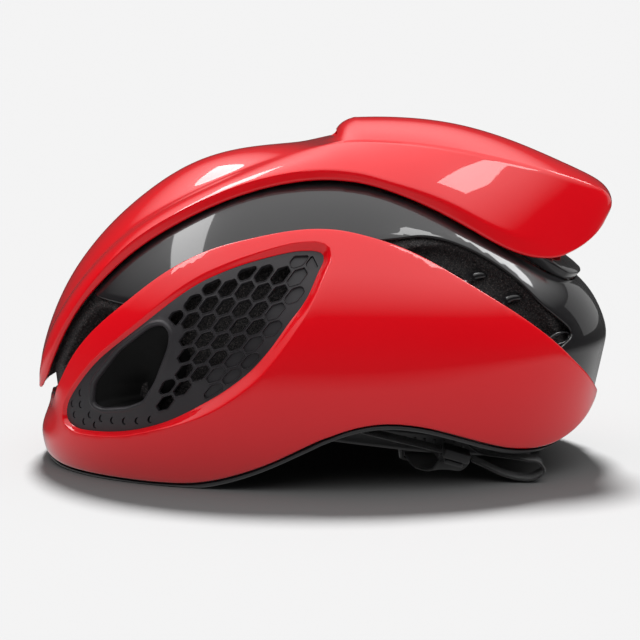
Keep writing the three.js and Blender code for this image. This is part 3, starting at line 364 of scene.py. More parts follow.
def fill_area(outer, holes, spacing):
    """Triangles of a flat area inside an outline and outside the holes, with evenly spread inner points."""
    outlines = [np.asarray(o, float) for o in (outer, *holes)]

    def in_area(pts):
        inside = points_inside(outlines[0], pts)
        for hole in outlines[1:]:
            inside &= ~points_inside(hole, pts)
        return inside

    low, high = outlines[0].min(axis=0), outlines[0].max(axis=0)
    rows = int((high[1] - low[1]) / (spacing * TRIANGLE_ROW)) + 1
    columns = int((high[0] - low[0]) / spacing) + 1
    j, i = np.mgrid[0:rows, 0:columns]
    px = low[0] + (i + 0.5 * (j % 2)) * spacing
    py = low[1] + j * spacing * TRIANGLE_ROW
    pts = np.stack([px.ravel(), py.ravel()], 1)
    pts = pts[in_area(pts)]
    clear = spacing * OUTLINE_CLEARANCE
    dense = np.vstack([resample(o, max(8, int(length_of(o) / (clear * OUTLINE_STEP))), closed=True)
                       for o in outlines])
    blocks = [pts[k:k + 2000] for k in range(0, len(pts), 2000)]
    nearest = np.concatenate([((b[:, None] - dense[None]) ** 2).sum(-1).min(1) for b in blocks])
    pts = pts[nearest > clear * clear]
    verts, constraint = [], []
    for o in outlines:
        constraint.append(list(range(len(verts), len(verts) + len(o))))
        verts += [Vector(p) for p in o]
    verts += [Vector(p) for p in pts]
    out_v, _, out_f, *_ = delaunay_2d_cdt(verts, [], constraint, 2, 1e-6)
    v = np.array([tuple(p) for p in out_v])
    centres = np.array([v[list(f)].mean(axis=0) for f in out_f])
    faces = []
    for f, good in zip(out_f, in_area(centres)):
        if good:
            a, b, c = (v[k] for k in f[:3])
            area = (b[0] - a[0]) * (c[1] - a[1]) - (b[1] - a[1]) * (c[0] - a[0])
            faces.append(tuple(f) if area > 0 else tuple(reversed(f)))
    return only_used(v, faces)


def length_of(loop):
    return float(np.linalg.norm(np.roll(loop, -1, axis=0) - loop, axis=1).sum())


def points_inside(outline, pts):
    x, y = pts[:, 0], pts[:, 1]
    inside = np.zeros(len(pts), bool)
    for (x0, y0), (x1, y1) in zip(np.roll(outline, 1, axis=0), outline):
        crosses = (y1 > y) != (y0 > y)
        with np.errstate(divide="ignore", invalid="ignore"):
            at = (x0 - x1) * (y - y1) / (y0 - y1) + x1
        inside ^= crosses & (x < at)
    return inside


def apply_modifiers(obj):
    bpy.context.view_layer.update()
    graph = bpy.context.evaluated_depsgraph_get()
    mesh = bpy.data.meshes.new_from_object(obj.evaluated_get(graph))
    obj.modifiers.clear()
    obj.data = mesh


def cut_away(obj, cutter):
    modifier = obj.modifiers.new("cut", "BOOLEAN")
    modifier.operation = "DIFFERENCE"
    modifier.solver = "EXACT"
    modifier.object = cutter
    apply_modifiers(obj)
    bpy.data.objects.remove(cutter)


def soften_corners(obj, angle):
    """Smooth shading that keeps corners above the angle sharp."""
    bm = bmesh.new()
    bm.from_mesh(obj.data)
    limit = math.radians(angle)
    for edge in bm.edges:
        if len(edge.link_faces) == 2:
            edge.smooth = edge.calc_face_angle(0) < limit
    for face in bm.faces:
        face.smooth = True
    bm.to_mesh(obj.data)
    bm.free()
    obj.data.update()


def place(obj, body, slot, *nodes):
    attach(obj, body)
    if nodes:
        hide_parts(*nodes)


def add_piece(name, solid, material, slot, *nodes, body="helmet", corners=None, side=1):
    """One visible piece from a solid built for the left side or the whole helmet."""
    verts, faces = solid
    obj = fix_normals(make_object(name, verts * np.array((side, 1, 1)), faces, material))
    if corners:
        soften_corners(obj, corners)
    place(obj, body, slot, *nodes)

# ------------------------------------------------------------------ materials


def new_material(name, color, roughness, **inputs):
    material = bpy.data.materials.new(name)
    material.use_nodes = True
    shader = shader_of(material)
    shader.inputs["Base Color"].default_value = (*color, 1)
    shader.inputs["Roughness"].default_value = roughness
    for key, value in inputs.items():
        shader.inputs[key.replace("_", " ")].default_value = value
    return material


def shader_of(material):
    return material.node_tree.nodes["Principled BSDF"]


def feed(material, socket, source):
    """Links a node's output to an input of the material's shader."""
    material.node_tree.links.new(source, shader_of(material).inputs[socket])


def texture(tree, kind, scale, detail=2.0, **settings):
    n = tree.nodes.new(kind)
    coordinates = tree.nodes.new("ShaderNodeTexCoord")
    tree.links.new(coordinates.outputs["Object"], n.inputs["Vector"])
    n.inputs["Scale"].default_value = scale
    if "Detail" in n.inputs:
        n.inputs["Detail"].default_value = detail
    for key, value in settings.items():
        setattr(n, key, value)
    return n


def ramp(tree, source, *stops):
    """Colour output of a ramp; a stop is a position with a colour or a grey level."""
    n = tree.nodes.new("ShaderNodeValToRGB")
    tree.links.new(source, n.inputs["Fac"])
    elements = n.color_ramp.elements
    while len(elements) < len(stops):
        elements.new(0.5)
    for element, (position, color) in zip(elements, stops):
        element.position = position
        element.color = (*(color if isinstance(color, tuple) else (color,) * 3), 1)
    return n.outputs["Color"]


def bump(tree, height, strength, distance, normal=None, invert=False):
    n = tree.nodes.new("ShaderNodeBump")
    n.invert = invert
    n.inputs["Strength"].default_value = strength
    n.inputs["Distance"].default_value = distance
    tree.links.new(height, n.inputs["Height"])
    if normal is not None:
        tree.links.new(normal, n.inputs["Normal"])
    return n.outputs["Normal"]


def glossy_paint(name, dark, light, coat_roughness=0.03):
    """Painted shell under a clear coat, with faint orange peel and colour drift."""
    m = new_material(name, light, 0.3, Coat_Weight=1.0, Coat_Roughness=coat_roughness, Coat_IOR=1.5,
                     Specular_IOR_Level=0.1)
    t = m.node_tree
    cloud = texture(t, "ShaderNodeTexNoise", 9.0, 3.0).outputs["Fac"]
    peel = texture(t, "ShaderNodeTexNoise", 420.0, 1.0).outputs["Fac"]
    wear = texture(t, "ShaderNodeTexNoise", 60.0, 4.0).outputs["Fac"]
    feed(m, "Base Color", ramp(t, cloud, (0.2, dark), (0.8, light)))
    feed(m, "Normal", bump(t, peel, 0.012, 0.0002))
    feed(m, "Roughness", ramp(t, wear, (0.2, 0.29), (0.8, 0.33)))
    return m


def moulded_plastic(name, color, roughness, grain=900.0, strength=0.12, **inputs):
    """Satin moulded plastic with a fine spark-eroded grain."""
    m = new_material(name, color, roughness, **inputs)
    t = m.node_tree
    fine = texture(t, "ShaderNodeTexNoise", grain, 2.0).outputs["Fac"]
    cloud = texture(t, "ShaderNodeTexNoise", 45.0, 3.0).outputs["Fac"]
    lighter = tuple(min(1.0, c * 1.35 + 0.004) for c in color)
    feed(m, "Normal", bump(t, fine, strength, 0.0002))
    feed(m, "Base Color", ramp(t, cloud, (0.3, color), (0.8, lighter)))
    feed(m, "Roughness", ramp(t, cloud, (0.3, roughness), (0.8, min(1, roughness + 0.12))))
    return m


def bead_foam(name):
    """Expanded foam moulded in the black: fused beads with fine pits, coloured with painted shade that darkens
    each bead towards its edge.
    """
    m = new_material(name, (0.03, 0.029, 0.03), 0.7)
    t = m.node_tree
    beads = texture(t, "ShaderNodeTexVoronoi", 520.0).outputs["Distance"]
    pits = texture(t, "ShaderNodeTexNoise", 1700.0, 3.0).outputs["Fac"]
    colors = t.nodes.new("ShaderNodeMix")
    colors.data_type = "RGBA"
    colors.blend_type = "ADD"
    colors.inputs["Factor"].default_value = 1.0
    # Painted shade: bead middles lighter and bead edges darker, as shade in the crevices between beads.
    painted_crevice_shade = ramp(t, beads, (0.1, (0.050, 0.047, 0.048)), (0.6, (0.011, 0.010, 0.011)))
    specks = ramp(t, pits, (0.52, 0.0), (0.68, (0.075, 0.062, 0.058)))
    t.links.new(painted_crevice_shade, colors.inputs["A"])
    t.links.new(specks, colors.inputs["B"])
    feed(m, "Base Color", colors.outputs["Result"])
    feed(m, "Normal", bump(t, pits, 0.45, 0.0003, bump(t, beads, 0.8, 0.0008, invert=True)))
    return m


def woven(name, color, scale):
    """Flat woven webbing or knitted cover, with painted sheen and shade: lighter on the raised threads, darker
    between them.
    """
    m = new_material(name, color, 0.85, Sheen_Weight=0.25, Sheen_Roughness=0.5)
    t = m.node_tree
    mix = t.nodes.new("ShaderNodeMath")
    mix.operation = "MULTIPLY"
    for k, direction in enumerate(("X", "Y")):
        wave = texture(t, "ShaderNodeTexWave", scale, 1.0, bands_direction=direction)
        wave.inputs["Distortion"].default_value = 0.6
        t.links.new(wave.outputs["Fac"], mix.inputs[k])
    weave = mix.outputs["Value"]
    # Painted sheen: this lighter colour goes on the raised threads, and the base colour in the gaps as painted
    # shade.
    light = tuple(min(1.0, c * 2.2 + 0.01) for c in color)
    feed(m, "Base Color", ramp(t, weave, (0.1, color), (0.8, light)))
    feed(m, "Normal", bump(t, weave, 0.6, 0.0004))
    return m


RED = glossy_paint("shell_red", (0.72, 0.0006, 0.006), (0.78, 0.001, 0.008))
GLOSS_BLACK = glossy_paint("shell_black", (0.008, 0.008, 0.009), (0.014, 0.013, 0.014), 0.04)
GRILLE = moulded_plastic("grille_plastic", (0.022, 0.020, 0.023), 0.42)
# Darker copy of the grille plastic with weaker reflections, for the duct funnel: painted shade deep inside the
# duct.
DUCT_PAINTED_SHADE = moulded_plastic("painted_shade_duct_plastic", (0.003, 0.003, 0.003), 0.6, Specular_IOR_Level=0.12)
PLASTIC = moulded_plastic("fitting_plastic", (0.020, 0.020, 0.021), 0.48)
RIM = moulded_plastic("rim_plastic", (0.016, 0.016, 0.017), 0.5, 500.0, 0.3)
RUBBER = moulded_plastic("soft_rubber", (0.014, 0.014, 0.014), 0.65, 700.0, 0.25)
FOAM = bead_foam("bead_foam")
WEBBING = woven("webbing", (0.012, 0.012, 0.013), 900.0)
KNIT = woven("pad_cover", (0.015, 0.015, 0.017), 700.0)


# ------------------------------------------------------------------ top shell

# By station, front to rear: the middle (y, z), the crease (x, y, z) and the lower edge (x, y, z).
TOP_STATIONS = [
    ((-144.8, 37), (9, -144.4, 37.2), (16.5, -142.5, 37.5)),
    ((-145.5, 43), (14, -144, 43.5), (25, -140.5, 42.5)),
    ((-144.5, 52), (20, -142.3, 53), (34, -136.8, 51.5)),
    ((-140.5, 66.5), (26, -136.8, 68), (43, -130, 66)),
    ((-133, 85), (31, -127.4, 84), (50, -120.5, 82.5)),
    ((-122.3, 102), (35, -115.5, 99.5), (54, -109, 95.5)),
    ((-108, 118.8), (37, -101, 114), (57, -95.5, 108.5)),
    ((-91, 133.5), (38, -85, 125.8), (59.5, -79, 119.8)),
    ((-72, 146.5), (37.5, -67, 135.5), (59.5, -60, 129.8)),
    ((-52, 154), (36.5, -48, 144), (57.5, -41, 137.5)),
    ((-31, 157), (35, -30, 151.5), (55, -21, 142.6)),
    ((-13, 158), (33.8, -11, 156.8), (54, -3, 144.6)),
    ((-3, 158.9), (33, 0, 159.6), (54.2, 8, 143.9)),
    ((2.5, 161.5), (33, 6, 160.6), (54.6, 14, 143.2)),
    ((7, 167.5), (33.2, 11, 161), (55, 19, 142.3)),
    ((14, 170.9), (33.5, 18, 161.2), (55.5, 26, 140.6)),
    ((38, 171), (35, 38, 160.3), (57.5, 43, 134.6)),
    ((59, 169), (36.5, 57, 158.2), (59.3, 61, 126)),
    ((79, 164.4), (37, 75, 154.7), (59, 78, 116)),
    ((99, 157.4), (36.5, 94, 150.6), (55, 93, 108.5)),
    ((118, 149), (34, 112, 145.8), (48.5, 106, 105.4)),
    ((132, 142.6), (29, 126.5, 140.8), (41, 117.5, 105.8)),
    ((139.5, 138.2), (25, 136.8, 136.6), (35, 128, 111)),
    ((143, 133.6), (20.5, 141.2, 132.6), (29, 134.5, 116)),
    ((144.1, 129.5), (17, 142.8, 128.6), (23, 138.5, 121)),
    ((143, 126), (14, 141.6, 125.2), (18, 139.4, 123)),
]
TOP_THICKNESS = 1.8
PER_SPAN = 9
SCOOP_STATION = 12
STEP_SPANS = 3
ROOF_POINTS, WALL_POINTS, TURN_POINTS = 46, 28, 6


def top_rail(points, step_at=None):
    """A rail through the stations, smoothed apart from the step at the scoop."""
    curve = catmull(points, np.linspace(0, 1, (len(points) - 1) * PER_SPAN + 1))
    if step_at is None:
        return blur(curve, PER_SPAN * 0.55)
    a, b = step_at * PER_SPAN, (step_at + STEP_SPANS) * PER_SPAN
    front, step, rear = blur(curve[:a + 1], PER_SPAN * 0.55), blur(curve[a:b + 1], 1.6), curve[b:]
    return np.vstack([front, step[1:-1], blur(rear, PER_SPAN * 0.5)])


def top_grid():
    """Skin of the top shell, a row per place along it, from its right edge over the top to its left one."""
    centre = top_rail([(0, *middle) for middle, _, _ in TOP_STATIONS], SCOOP_STATION)
    crease = top_rail([c for _, c, _ in TOP_STATIONS])
    edge = top_rail([e for _, _, e in TOP_STATIONS])
    out = dome_normal(angle_at(edge[:, 1], edge[:, 2]), edge[:, 2])
    y = edge[:, 1]
    size = (smooth(-144, -128, y) * (1 - smooth(98, 120, y)))[:, None]
    drop = 4.0 + 3.6 * smooth(25, 70, y)[:, None]
    shoulder = edge + out * 0.35 + np.array([0, -0.25, 1.0]) * drop * size
    shoulder[:, 2] = np.minimum(shoulder[:, 2], lerp(edge[:, 2], crease[:, 2], 0.75))
    crisp = smooth(-12, 6, centre[:, 1]) * (1 - smooth(134, 141, centre[:, 1]))
    rows = []
    for i in range(len(centre)):
        t = np.linspace(0, 1, 30)[:, None]
        roof = np.hstack([
            crease[i, 0] * t,
            lerp(centre[i, 1], crease[i, 1], t ** 1.5),
            lerp(centre[i, 2], crease[i, 2], t ** 2),
        ])
        t = np.linspace(0, 1, 20)[:, None]
        wall = lerp(crease[i], shoulder[i], t) + out[i] * (4 * t * (1 - t) * 1.5)
        turn = lerp(shoulder[i], edge[i], np.linspace(0, 1, TURN_POINTS)[:, None])
        half = np.vstack([resample(roof, ROOF_POINTS), resample(wall, WALL_POINTS)[1:], turn[1:]])
        full = np.vstack([half[::-1] * (-1, 1, 1), half[1:]])
        middle = len(half) - 1
        groove = np.zeros(len(full))
        groove[[middle - ROOF_POINTS + 1, middle + ROOF_POINTS - 1]] = 0.35 * crisp[i]
        sharp = blur(full, 0.6) + np.stack([-np.sign(full[:, 0]) * groove * 0.3, 0 * groove, -groove], 1)
        beside = np.abs(np.arange(len(full)) - middle) > 60
        share = blur(np.where(beside, 1.0, crisp[i])[:, None], 3.0)
        rows.append(lerp(blur(full, 3.0), sharp, share))
    return np.stack(rows)


def scoop_cutter():
    """Rounded tunnel that opens the mouth under the raised roof."""
    half_width, floor_z, roof_z = 15.0, 161.8, 165.0
    loops = []
    for y in np.linspace(-10, 40, 6):
        arch = []
        for t in np.linspace(0, math.pi, 25):
            x = half_width * math.cos(t)
            arch.append((x, y, floor_z + (roof_z - floor_z) * math.sin(t) ** 0.8))
        bottom = [(x, y, floor_z - 0.8) for x in np.linspace(-half_width, half_width, 9)[1:-1]]
        loops.append(arch + bottom)
    return loft(loops)


TOP_GRID = top_grid()
top_shell = fix_normals(make_object("top_shell_skin", *grid_shell(TOP_GRID, TOP_THICKNESS), RED))
cut_away(top_shell, fix_normals(make_object("scoop_space", *scoop_cutter(), None)))
soften_corners(top_shell, 40)
place(top_shell, "helmet", "red_shell", "top_shell")

TONGUE_ROWS, TONGUE_REACH, TONGUE_STEP = slice(3, 64), 68, 4


def tongue_foam():
    """Foam that fills the space under the front of the top shell, down to its tip."""
    rows = TOP_GRID[TONGUE_ROWS]
    n, _ = outward_normals(rows)
    middle = rows.shape[1] // 2
    keep = slice(middle - TONGUE_REACH, middle + TONGUE_REACH + 1, TONGUE_STEP)
    into = n[:, keep]
    along = np.linspace(0, 1, len(rows))[:, None, None]
    top = (rows[:, keep] - into * (TOP_THICKNESS + 0.15)) * (0.965, 1, 1)
    bottom = (top - into * (15.0 - 2.0 * smooth(0, 0.3, along))) * (0.94, 1, 1)
    return loft(np.concatenate([top, bottom[:, ::-1]], axis=1))


add_piece("tongue_foam_block", tongue_foam(), FOAM, "foam", corners=40)

# ------------------------------------------------------------------ lower shell

LOWER_STATIONS = [
    ((-139, 34), (-137, 3.2)), ((-133, 40), (-131, 2)), ((-124, 58), (-121, 1.6)),
    ((-112, 73), (-108, 1.5)), ((-96, 87), (-93, 1.3)), ((-77, 102), (-76, 1.3)),
    ((-56, 113), (-60, 2.4)), ((-36, 118.5), (-43, 6.8)), ((-16, 122.5), (-26, 13.3)),
    ((2, 123.3), (-8, 22.3)), ((20, 119.8), (8, 29.2)), ((38, 113.8), (25, 32.8)),
    ((56, 104.5), (43, 31.2)), ((74, 93.3), (60, 26.4)), ((91, 82.5), (76, 20.8)),
    ((105, 72), (92, 16.2)), ((117, 60.5), (108, 15.8)), ((127, 50), (121, 20.2)),
    ((133, 41.5), (130, 26.6)), ((135.6, 37), (134.6, 32.8)),
]
BROW_TOP_Z, BROW_BOTTOM_Z = 32.4, 5.4
LOWER_THICKNESS, LOWER_SPACING = 2.2, 2.6
RAIL_POINTS, LEAF_POINTS, LEAF_SMOOTHING = 200, 230, 9
LONGEST_LEAF = 420
MID_INSET = 2.7
MM_PER_DEGREE = 1.9
LEAF = [
    (-1, 112.5), (-1, 110.5), (-3.5, 105.5), (-9, 95), (-18.5, 80), (-28, 66.5), (-37.5, 56), (-56.5, 42),
    (-77, 31), (-98, 24.5), (-117.5, 22.5), (-123.5, 23), (-127.5, 26), (-128, 30.5), (-126, 36.5),
    (-112, 56.5), (-89, 76.5), (-64, 95.5), (-47, 104), (-28, 110.5), (-13, 114), (-4.5, 114),
]


def rearward(y, z):
    """Distance past the slanted line of the recess's rear edge, negative towards its top and front."""
    return (y + 1) * 0.68 - (z - 112) * 0.73


def grille_inset(y, z):
    return 1.7 + 3.2 * smooth(-32, 4, rearward(y, z))


def lower_rails():
    """Left top and bottom edge from the middle of the front, in plan angle and height."""
    rails = []
    for rail, brow in ((0, BROW_TOP_Z), (1, BROW_BOTTOM_Z)):
        half = np.vstack([[(0.0, brow)], plan_points([s[rail] for s in LOWER_STATIONS])])
        whole = np.vstack([half[::-1] * (-1, 1), half[1:]])
        curve = blur(catmull(whole, np.linspace(0, 1, RAIL_POINTS * 2 + 1)), RAIL_POINTS / 60)
        rails.append(curve[RAIL_POINTS:])
    return rails


def leaf_curve(count):
    curve = catmull(LEAF, np.linspace(0, 1, 2000, endpoint=False), closed=True)
    return resample(blur(curve, LEAF_SMOOTHING, closed=True), count, closed=True)


def grow_outline(loop, distance):
    """Moves a closed outline outwards in its own plane."""
    ahead = np.roll(loop, -1, axis=0) - np.roll(loop, 1, axis=0)
    normal = unit(np.stack([ahead[:, 1], -ahead[:, 0]], 1))
    area = np.sum(loop[:, 0] * np.roll(loop[:, 1], -1) - np.roll(loop[:, 0], -1) * loop[:, 1])
    if area < 0:
        normal = -normal
    return loop + normal * np.reshape(distance, (-1, 1))


def bevel_width(loop):
    """How far the recess's sloped wall reaches past the grille, round the leaf."""
    y, z = loop[:, 0], loop[:, 1]
    tip = smooth(-14, -3, y)
    rear = smooth(-8, 6, rearward(y, z)) * smooth(-88, -50, y)
    top = smooth(60, 100, z) * (1 - rear)
    return 1.5 + 1.3 * top + 4.0 * rear - 1.3 * tip * rear


def chart_dome(points, inset=0.0):
    """Points of the flat chart (plan angle in mm, height), placed on the dome."""
    return dome(points[:, 0] / MM_PER_DEGREE, points[:, 1], inset)


def chart_normal(points):
    """Outward direction of the dome at points of the flat chart."""
    return dome_normal(points[:, 0] / MM_PER_DEGREE, points[:, 1])


def is_leaf(points):
    return length_of(points) < LONGEST_LEAF


def leaf_hem(points):
    """Rounded edge and sloped wall of the recess, then back to the shell's inside."""
    side = points[:, 1:]
    width = bevel_width(side)
    depth = grille_inset(side[:, 0], side[:, 1])
    deep = np.maximum(depth, LOWER_THICKNESS)
    shape = [(0.05, 0.005), (0.11, 0.03), (0.18, 0.08), (0.28, 0.17), (0.5, 0.42), (0.75, 0.74),
             (0.92, 0.94), (1.0, 1.0)]
    rows = [(width * a, depth * b) for a, b in shape]
    return rows + [(width, depth + 0.7), (width * 0.55, deep + 0.8), (width * 0.1, deep + 0.2)]


def lower_shell():
    """Left half filled on the flat chart, mirrored at the seam in front, and thickened as one."""
    top, bottom = lower_rails()
    end = np.linspace(top[-1], bottom[-1], 7)[1:-1]
    brow = np.linspace(bottom[0], top[0], 15)
    loop = np.vstack([top[:-1], end, bottom[::-1][1:-1], brow[:-1]]) * (MM_PER_DEGREE, 1)
    seam = np.abs(loop[:, 0]) < 1e-6
    inward = grow_outline(loop, np.where(seam, 0, -LOWER_THICKNESS / 2))
    inward[seam] = loop[seam]
    leaf = leaf_curve(LEAF_POINTS)
    hole = plan_points(grow_outline(leaf, bevel_width(leaf))) * (MM_PER_DEGREE, 1)
    chart, faces = fill_area(inward, [hole], LOWER_SPACING)
    left = np.hstack([chart_dome(chart), chart_normal(chart)])
    seam = np.abs(chart[:, 0]) < 1e-4
    left[seam, 3] = 0
    total = len(left)
    faces += [tuple(k if seam[k] else total + k for k in reversed(f)) for f in faces]
    rows, faces = only_used(np.vstack([left, left * (-1, 1, 1, -1, 1, 1)]), faces)
    return shell(rows[:, :3], rows[:, 3:], faces, LOWER_THICKNESS, hem_steps=8, hems=[(is_leaf, leaf_hem)])


add_piece("lower_shell_skin", lower_shell(), RED, "red_shell", "lower_shell", corners=50)

# ------------------------------------------------------------------ black shell

MID_TOP = [
    (-116.5, 88.5), (-104, 102), (-89, 115), (-72, 125.5), (-53, 134.5), (-34, 141.2), (-15, 145), (5, 145.5),
    (24, 141.8), (41, 136.2), (57, 129.5), (72, 121.5), (85, 114), (96, 107.4), (104.5, 102.5), (110, 99.5),
    (114.5, 97.5), (118, 96), (120.5, 95),
]
MID_BOTTOM = [
    (-93.5, 86), (-84, 93.8), (-71, 103), (-57, 109.5), (-42, 114), (-26, 118), (-11, 120.2), (5, 120),
    (20, 118.2), (34, 119), (48, 119.8), (62, 116.6), (76, 110.2), (91, 100.6), (103.5, 88), (112.2, 80.3),
    (119, 74.2), (121.8, 70.8), (119.4, 67.4), (113.5, 63), (112.5, 58), (117, 51), (124, 44), (131.5, 38.4),
]
REAR_TOP_Z, REAR_BOTTOM_Z = 94.5, 35.2
MID_THICKNESS, MID_SPACING, MID_OUTLINE_POINTS = 1.8, 3.0, 700


def mid_shell():
    rails = []
    for rail, rear, count in ((MID_TOP, REAR_TOP_Z, 300), (MID_BOTTOM, REAR_BOTTOM_Z, 420)):
        whole = round_the_back(plan_points(rail), (180, rear)) * (MM_PER_DEGREE, 1)
        rails.append(blur(resample(catmull(whole, np.linspace(0, 1, 2400)), count), 1.6))
    top, bottom = rails
    left, right = (np.linspace(top[k], bottom[k], 9)[1:-1] for k in (0, -1))
    loop = grow_outline(np.vstack([top[1:-1], right, bottom[::-1][1:-1], left[::-1]]), -MID_THICKNESS / 2)
    chart, faces = fill_area(resample(loop, MID_OUTLINE_POINTS, closed=True), [], MID_SPACING)
    return shell(chart_dome(chart, MID_INSET), chart_normal(chart), faces, MID_THICKNESS)


add_piece("mid_shell_skin", mid_shell(), GLOSS_BLACK, "black_shell", "mid_shell", corners=60)

# ------------------------------------------------------------------ side grilles

CELL_STEP = (7.95, -0.48)
CELL_RISE = (1.3, 8.3)
CELL_START = (-57.0, 80.5)
CELL_CORNERS = [(4.8, 1.9), (3.5, 4.2), (-1.1, 2.8), (-4.8, -1.9), (-3.5, -4.2), (1.1, -2.8)]
GROOVE_RUN = [(-1.0, 2.7), (-2.5, 1.3), (-3.3, -0.4), (-3.2, -2.0), (-2.2, -3.0), (-0.7, -2.9)]
ARC_Z = 55.0
OPEN_AREA = [
    (-41, 109), (-15, 107), (-16.5, 99.5), (-26, 92), (-27, 83.5), (-35.5, 76), (-54.5, 59.5),
    (-70.5, 43), (-78.5, 37.5), (-86.5, 38.5), (-80, 51.5), (-74, 66.5), (-74.5, 81.5), (-65, 92.5),
]
DUCT_OUTLINE = [
    (-78, 78.5), (-75, 75), (-76, 68), (-83, 50.5), (-89.5, 40), (-97.5, 36.5), (-110, 34.6),
    (-114.6, 36.8), (-113, 47), (-99.5, 64.5), (-84, 77),
]
GRILLE_THICKNESS, GRILLE_SPACING, LIP_WIDTH = 2.4, 1.5, 0.5
# Cells nearer than this to the leaf's edge or the duct are trimmed, to these clearances from them.
TRIM_NEAR_EDGE, TRIM_NEAR_DUCT = 6.4, 8.4
EDGE_CLEARANCE, DUCT_CLEARANCE = 1.5, 4.3
TRIM_POINTS, LEAST_POINTS, LEAST_RADIUS = 72, 30, 1.15

arc_y = np.arange(-142.0, 12.0, 0.5)
arc_x = dome(angle_at(arc_y, ARC_Z), ARC_Z)[:, 0]
arc_s = np.concatenate([[0], np.cumsum(np.hypot(np.diff(arc_y), np.diff(arc_x)))])
arc_s -= np.interp(0.0, arc_y, arc_s)


def arc_of(y):
    return np.interp(y, arc_y, arc_s)


def y_of(arc):
    return np.interp(arc, arc_s, arc_y)


def side_point(chart, extra=0.0):
    """Grille chart (distance along the side, height) to the left side of the dome, at the grille's depth."""
    y = y_of(chart[:, 0])
    return dome(angle_at(y, chart[:, 1]), chart[:, 1], grille_inset(y, chart[:, 1]) + extra)


def side_normal(chart):
    return dome_normal(angle_at(y_of(chart[:, 0]), chart[:, 1]), chart[:, 1])


def chart_of(yz):
    yz = np.asarray(yz, float)
    return np.stack([arc_of(yz[:, 0]), yz[:, 1]], 1)


def cell_outline(centre):
    """Slanted hexagon with softened corners."""
    pts = np.array(CELL_CORNERS)
    out = []
    for k in range(6):
        here, before, after = pts[k], pts[k - 1], pts[(k + 1) % 6]
        out += [lerp(here, before, 0.5), lerp(here, before, 0.17), lerp(here, before, 0.05),
                lerp(here, after, 0.05), lerp(here, after, 0.17)]
    return np.array(out) + centre


GROOVES = [
    (-120.4, 41.4), (-120.6, 35.4), (-116.2, 30.9), (-110.6, 29.8), (-105, 29.5), (-99, 29.7), (-92.6, 30.4),
    (-86, 31.6), (-125, 35), (-124.2, 29.6), (-119.4, 27), (-114, 26), (-108.4, 25.6), (-102.6, 25.7),
    (-96.6, 26.3),
]
GROOVE_SHARE = 0.6


def groove_outline(centre):
    """Thin bent groove, widest in its middle."""
    run = catmull(GROOVE_RUN, np.linspace(0, 1, 12)) * GROOVE_SHARE + (1.2, 0) + centre
    ahead = np.gradient(run, axis=0)
    across = unit(np.stack([-ahead[:, 1], ahead[:, 0]], 1))
    half = 0.14 + 0.46 * np.sin(np.linspace(0, math.pi, 12))[:, None]
    return np.vstack([run + across * half, (run - across * half)[::-1]])


def lattice():
    """Middles of all cells that could fall on the panel."""
    start = np.array([arc_of(CELL_START[0]), CELL_START[1]])
    a, b = np.array(CELL_STEP), np.array(CELL_RISE)
    return [start + i * a + j * b for j in range(-9, 7) for i in range(-15, 8)]


def outline_distance(outline, point):
    """Shortest distance from a point to a closed outline."""
    p = np.asarray(outline)
    q = np.roll(p, -1, axis=0)
    d = q - p
    t = np.clip(((point - p) * d).sum(1) / (d * d).sum(1), 0, 1)
    return float(np.sqrt(((p + d * t[:, None] - point) ** 2).sum(1)).min())


def trimmed_cell(cell, visible, duct):
    """What is left of a cell beside the leaf's edge or the duct, or None if that is too small."""
    dense = resample(cell, TRIM_POINTS, closed=True)
    keep = points_inside(visible, dense) & ~points_inside(duct, dense)
    keep &= np.array([
        outline_distance(visible, c) > EDGE_CLEARANCE and outline_distance(duct, c) > DUCT_CLEARANCE
        for c in dense
    ])
    if keep.sum() < LEAST_POINTS:
        return None
    pts = dense[keep]
    middle = pts.mean(axis=0)
    order = np.argsort(np.arctan2(pts[:, 1] - middle[1], pts[:, 0] - middle[0]))
    cell = blur(resample(pts[order], LEAST_POINTS, closed=True), 0.6, closed=True)
    return None if outline_distance(cell, middle) < LEAST_RADIUS else cell


def grille_outlines():
    """Panel edge, duct, all cells, the blind ones among them, and the small grooves, on the grille's chart."""
    leaf = leaf_curve(200)
    edge = chart_of(grow_outline(leaf, 1.0))
    visible = chart_of(leaf)
    duct = blur(resample(chart_of(DUCT_OUTLINE), 160, closed=True), 2.0, closed=True)
    duct = resample(duct, 110, closed=True)
    open_area = chart_of(OPEN_AREA)
    cells, blind = [], []
    for centre in lattice():
        if not points_inside(visible, centre[None])[0] or points_inside(duct, centre[None])[0]:
            continue
        open_here = points_inside(open_area, centre[None])[0]
        y = float(y_of(centre[0]))
        if not open_here and (y < -78 or (y < -60 and rearward(y, centre[1]) > -3)):
            continue
        cell = cell_outline(centre)
        if (outline_distance(visible, centre) < TRIM_NEAR_EDGE
                or outline_distance(duct, centre) < TRIM_NEAR_DUCT):
            cell = trimmed_cell(cell, visible, duct)
        if cell is None:
            continue
        cells.append(cell)
        if not open_here:
            blind.append(cell)
    grooves = [
        groove for groove in map(groove_outline, chart_of(GROOVES))
        if all(outline_distance(visible, c) > 0.4 and outline_distance(duct, c) > 2.8 for c in groove)
    ]
    return edge, duct, cells, blind, grooves


def hem_of(shape):
    """Hem with the same (outwards, inwards) rows all round a boundary."""
    def rows_of(points):
        zero = np.zeros(len(points))
        return [(zero + a, zero + b) for a, b in shape]
    return rows_of


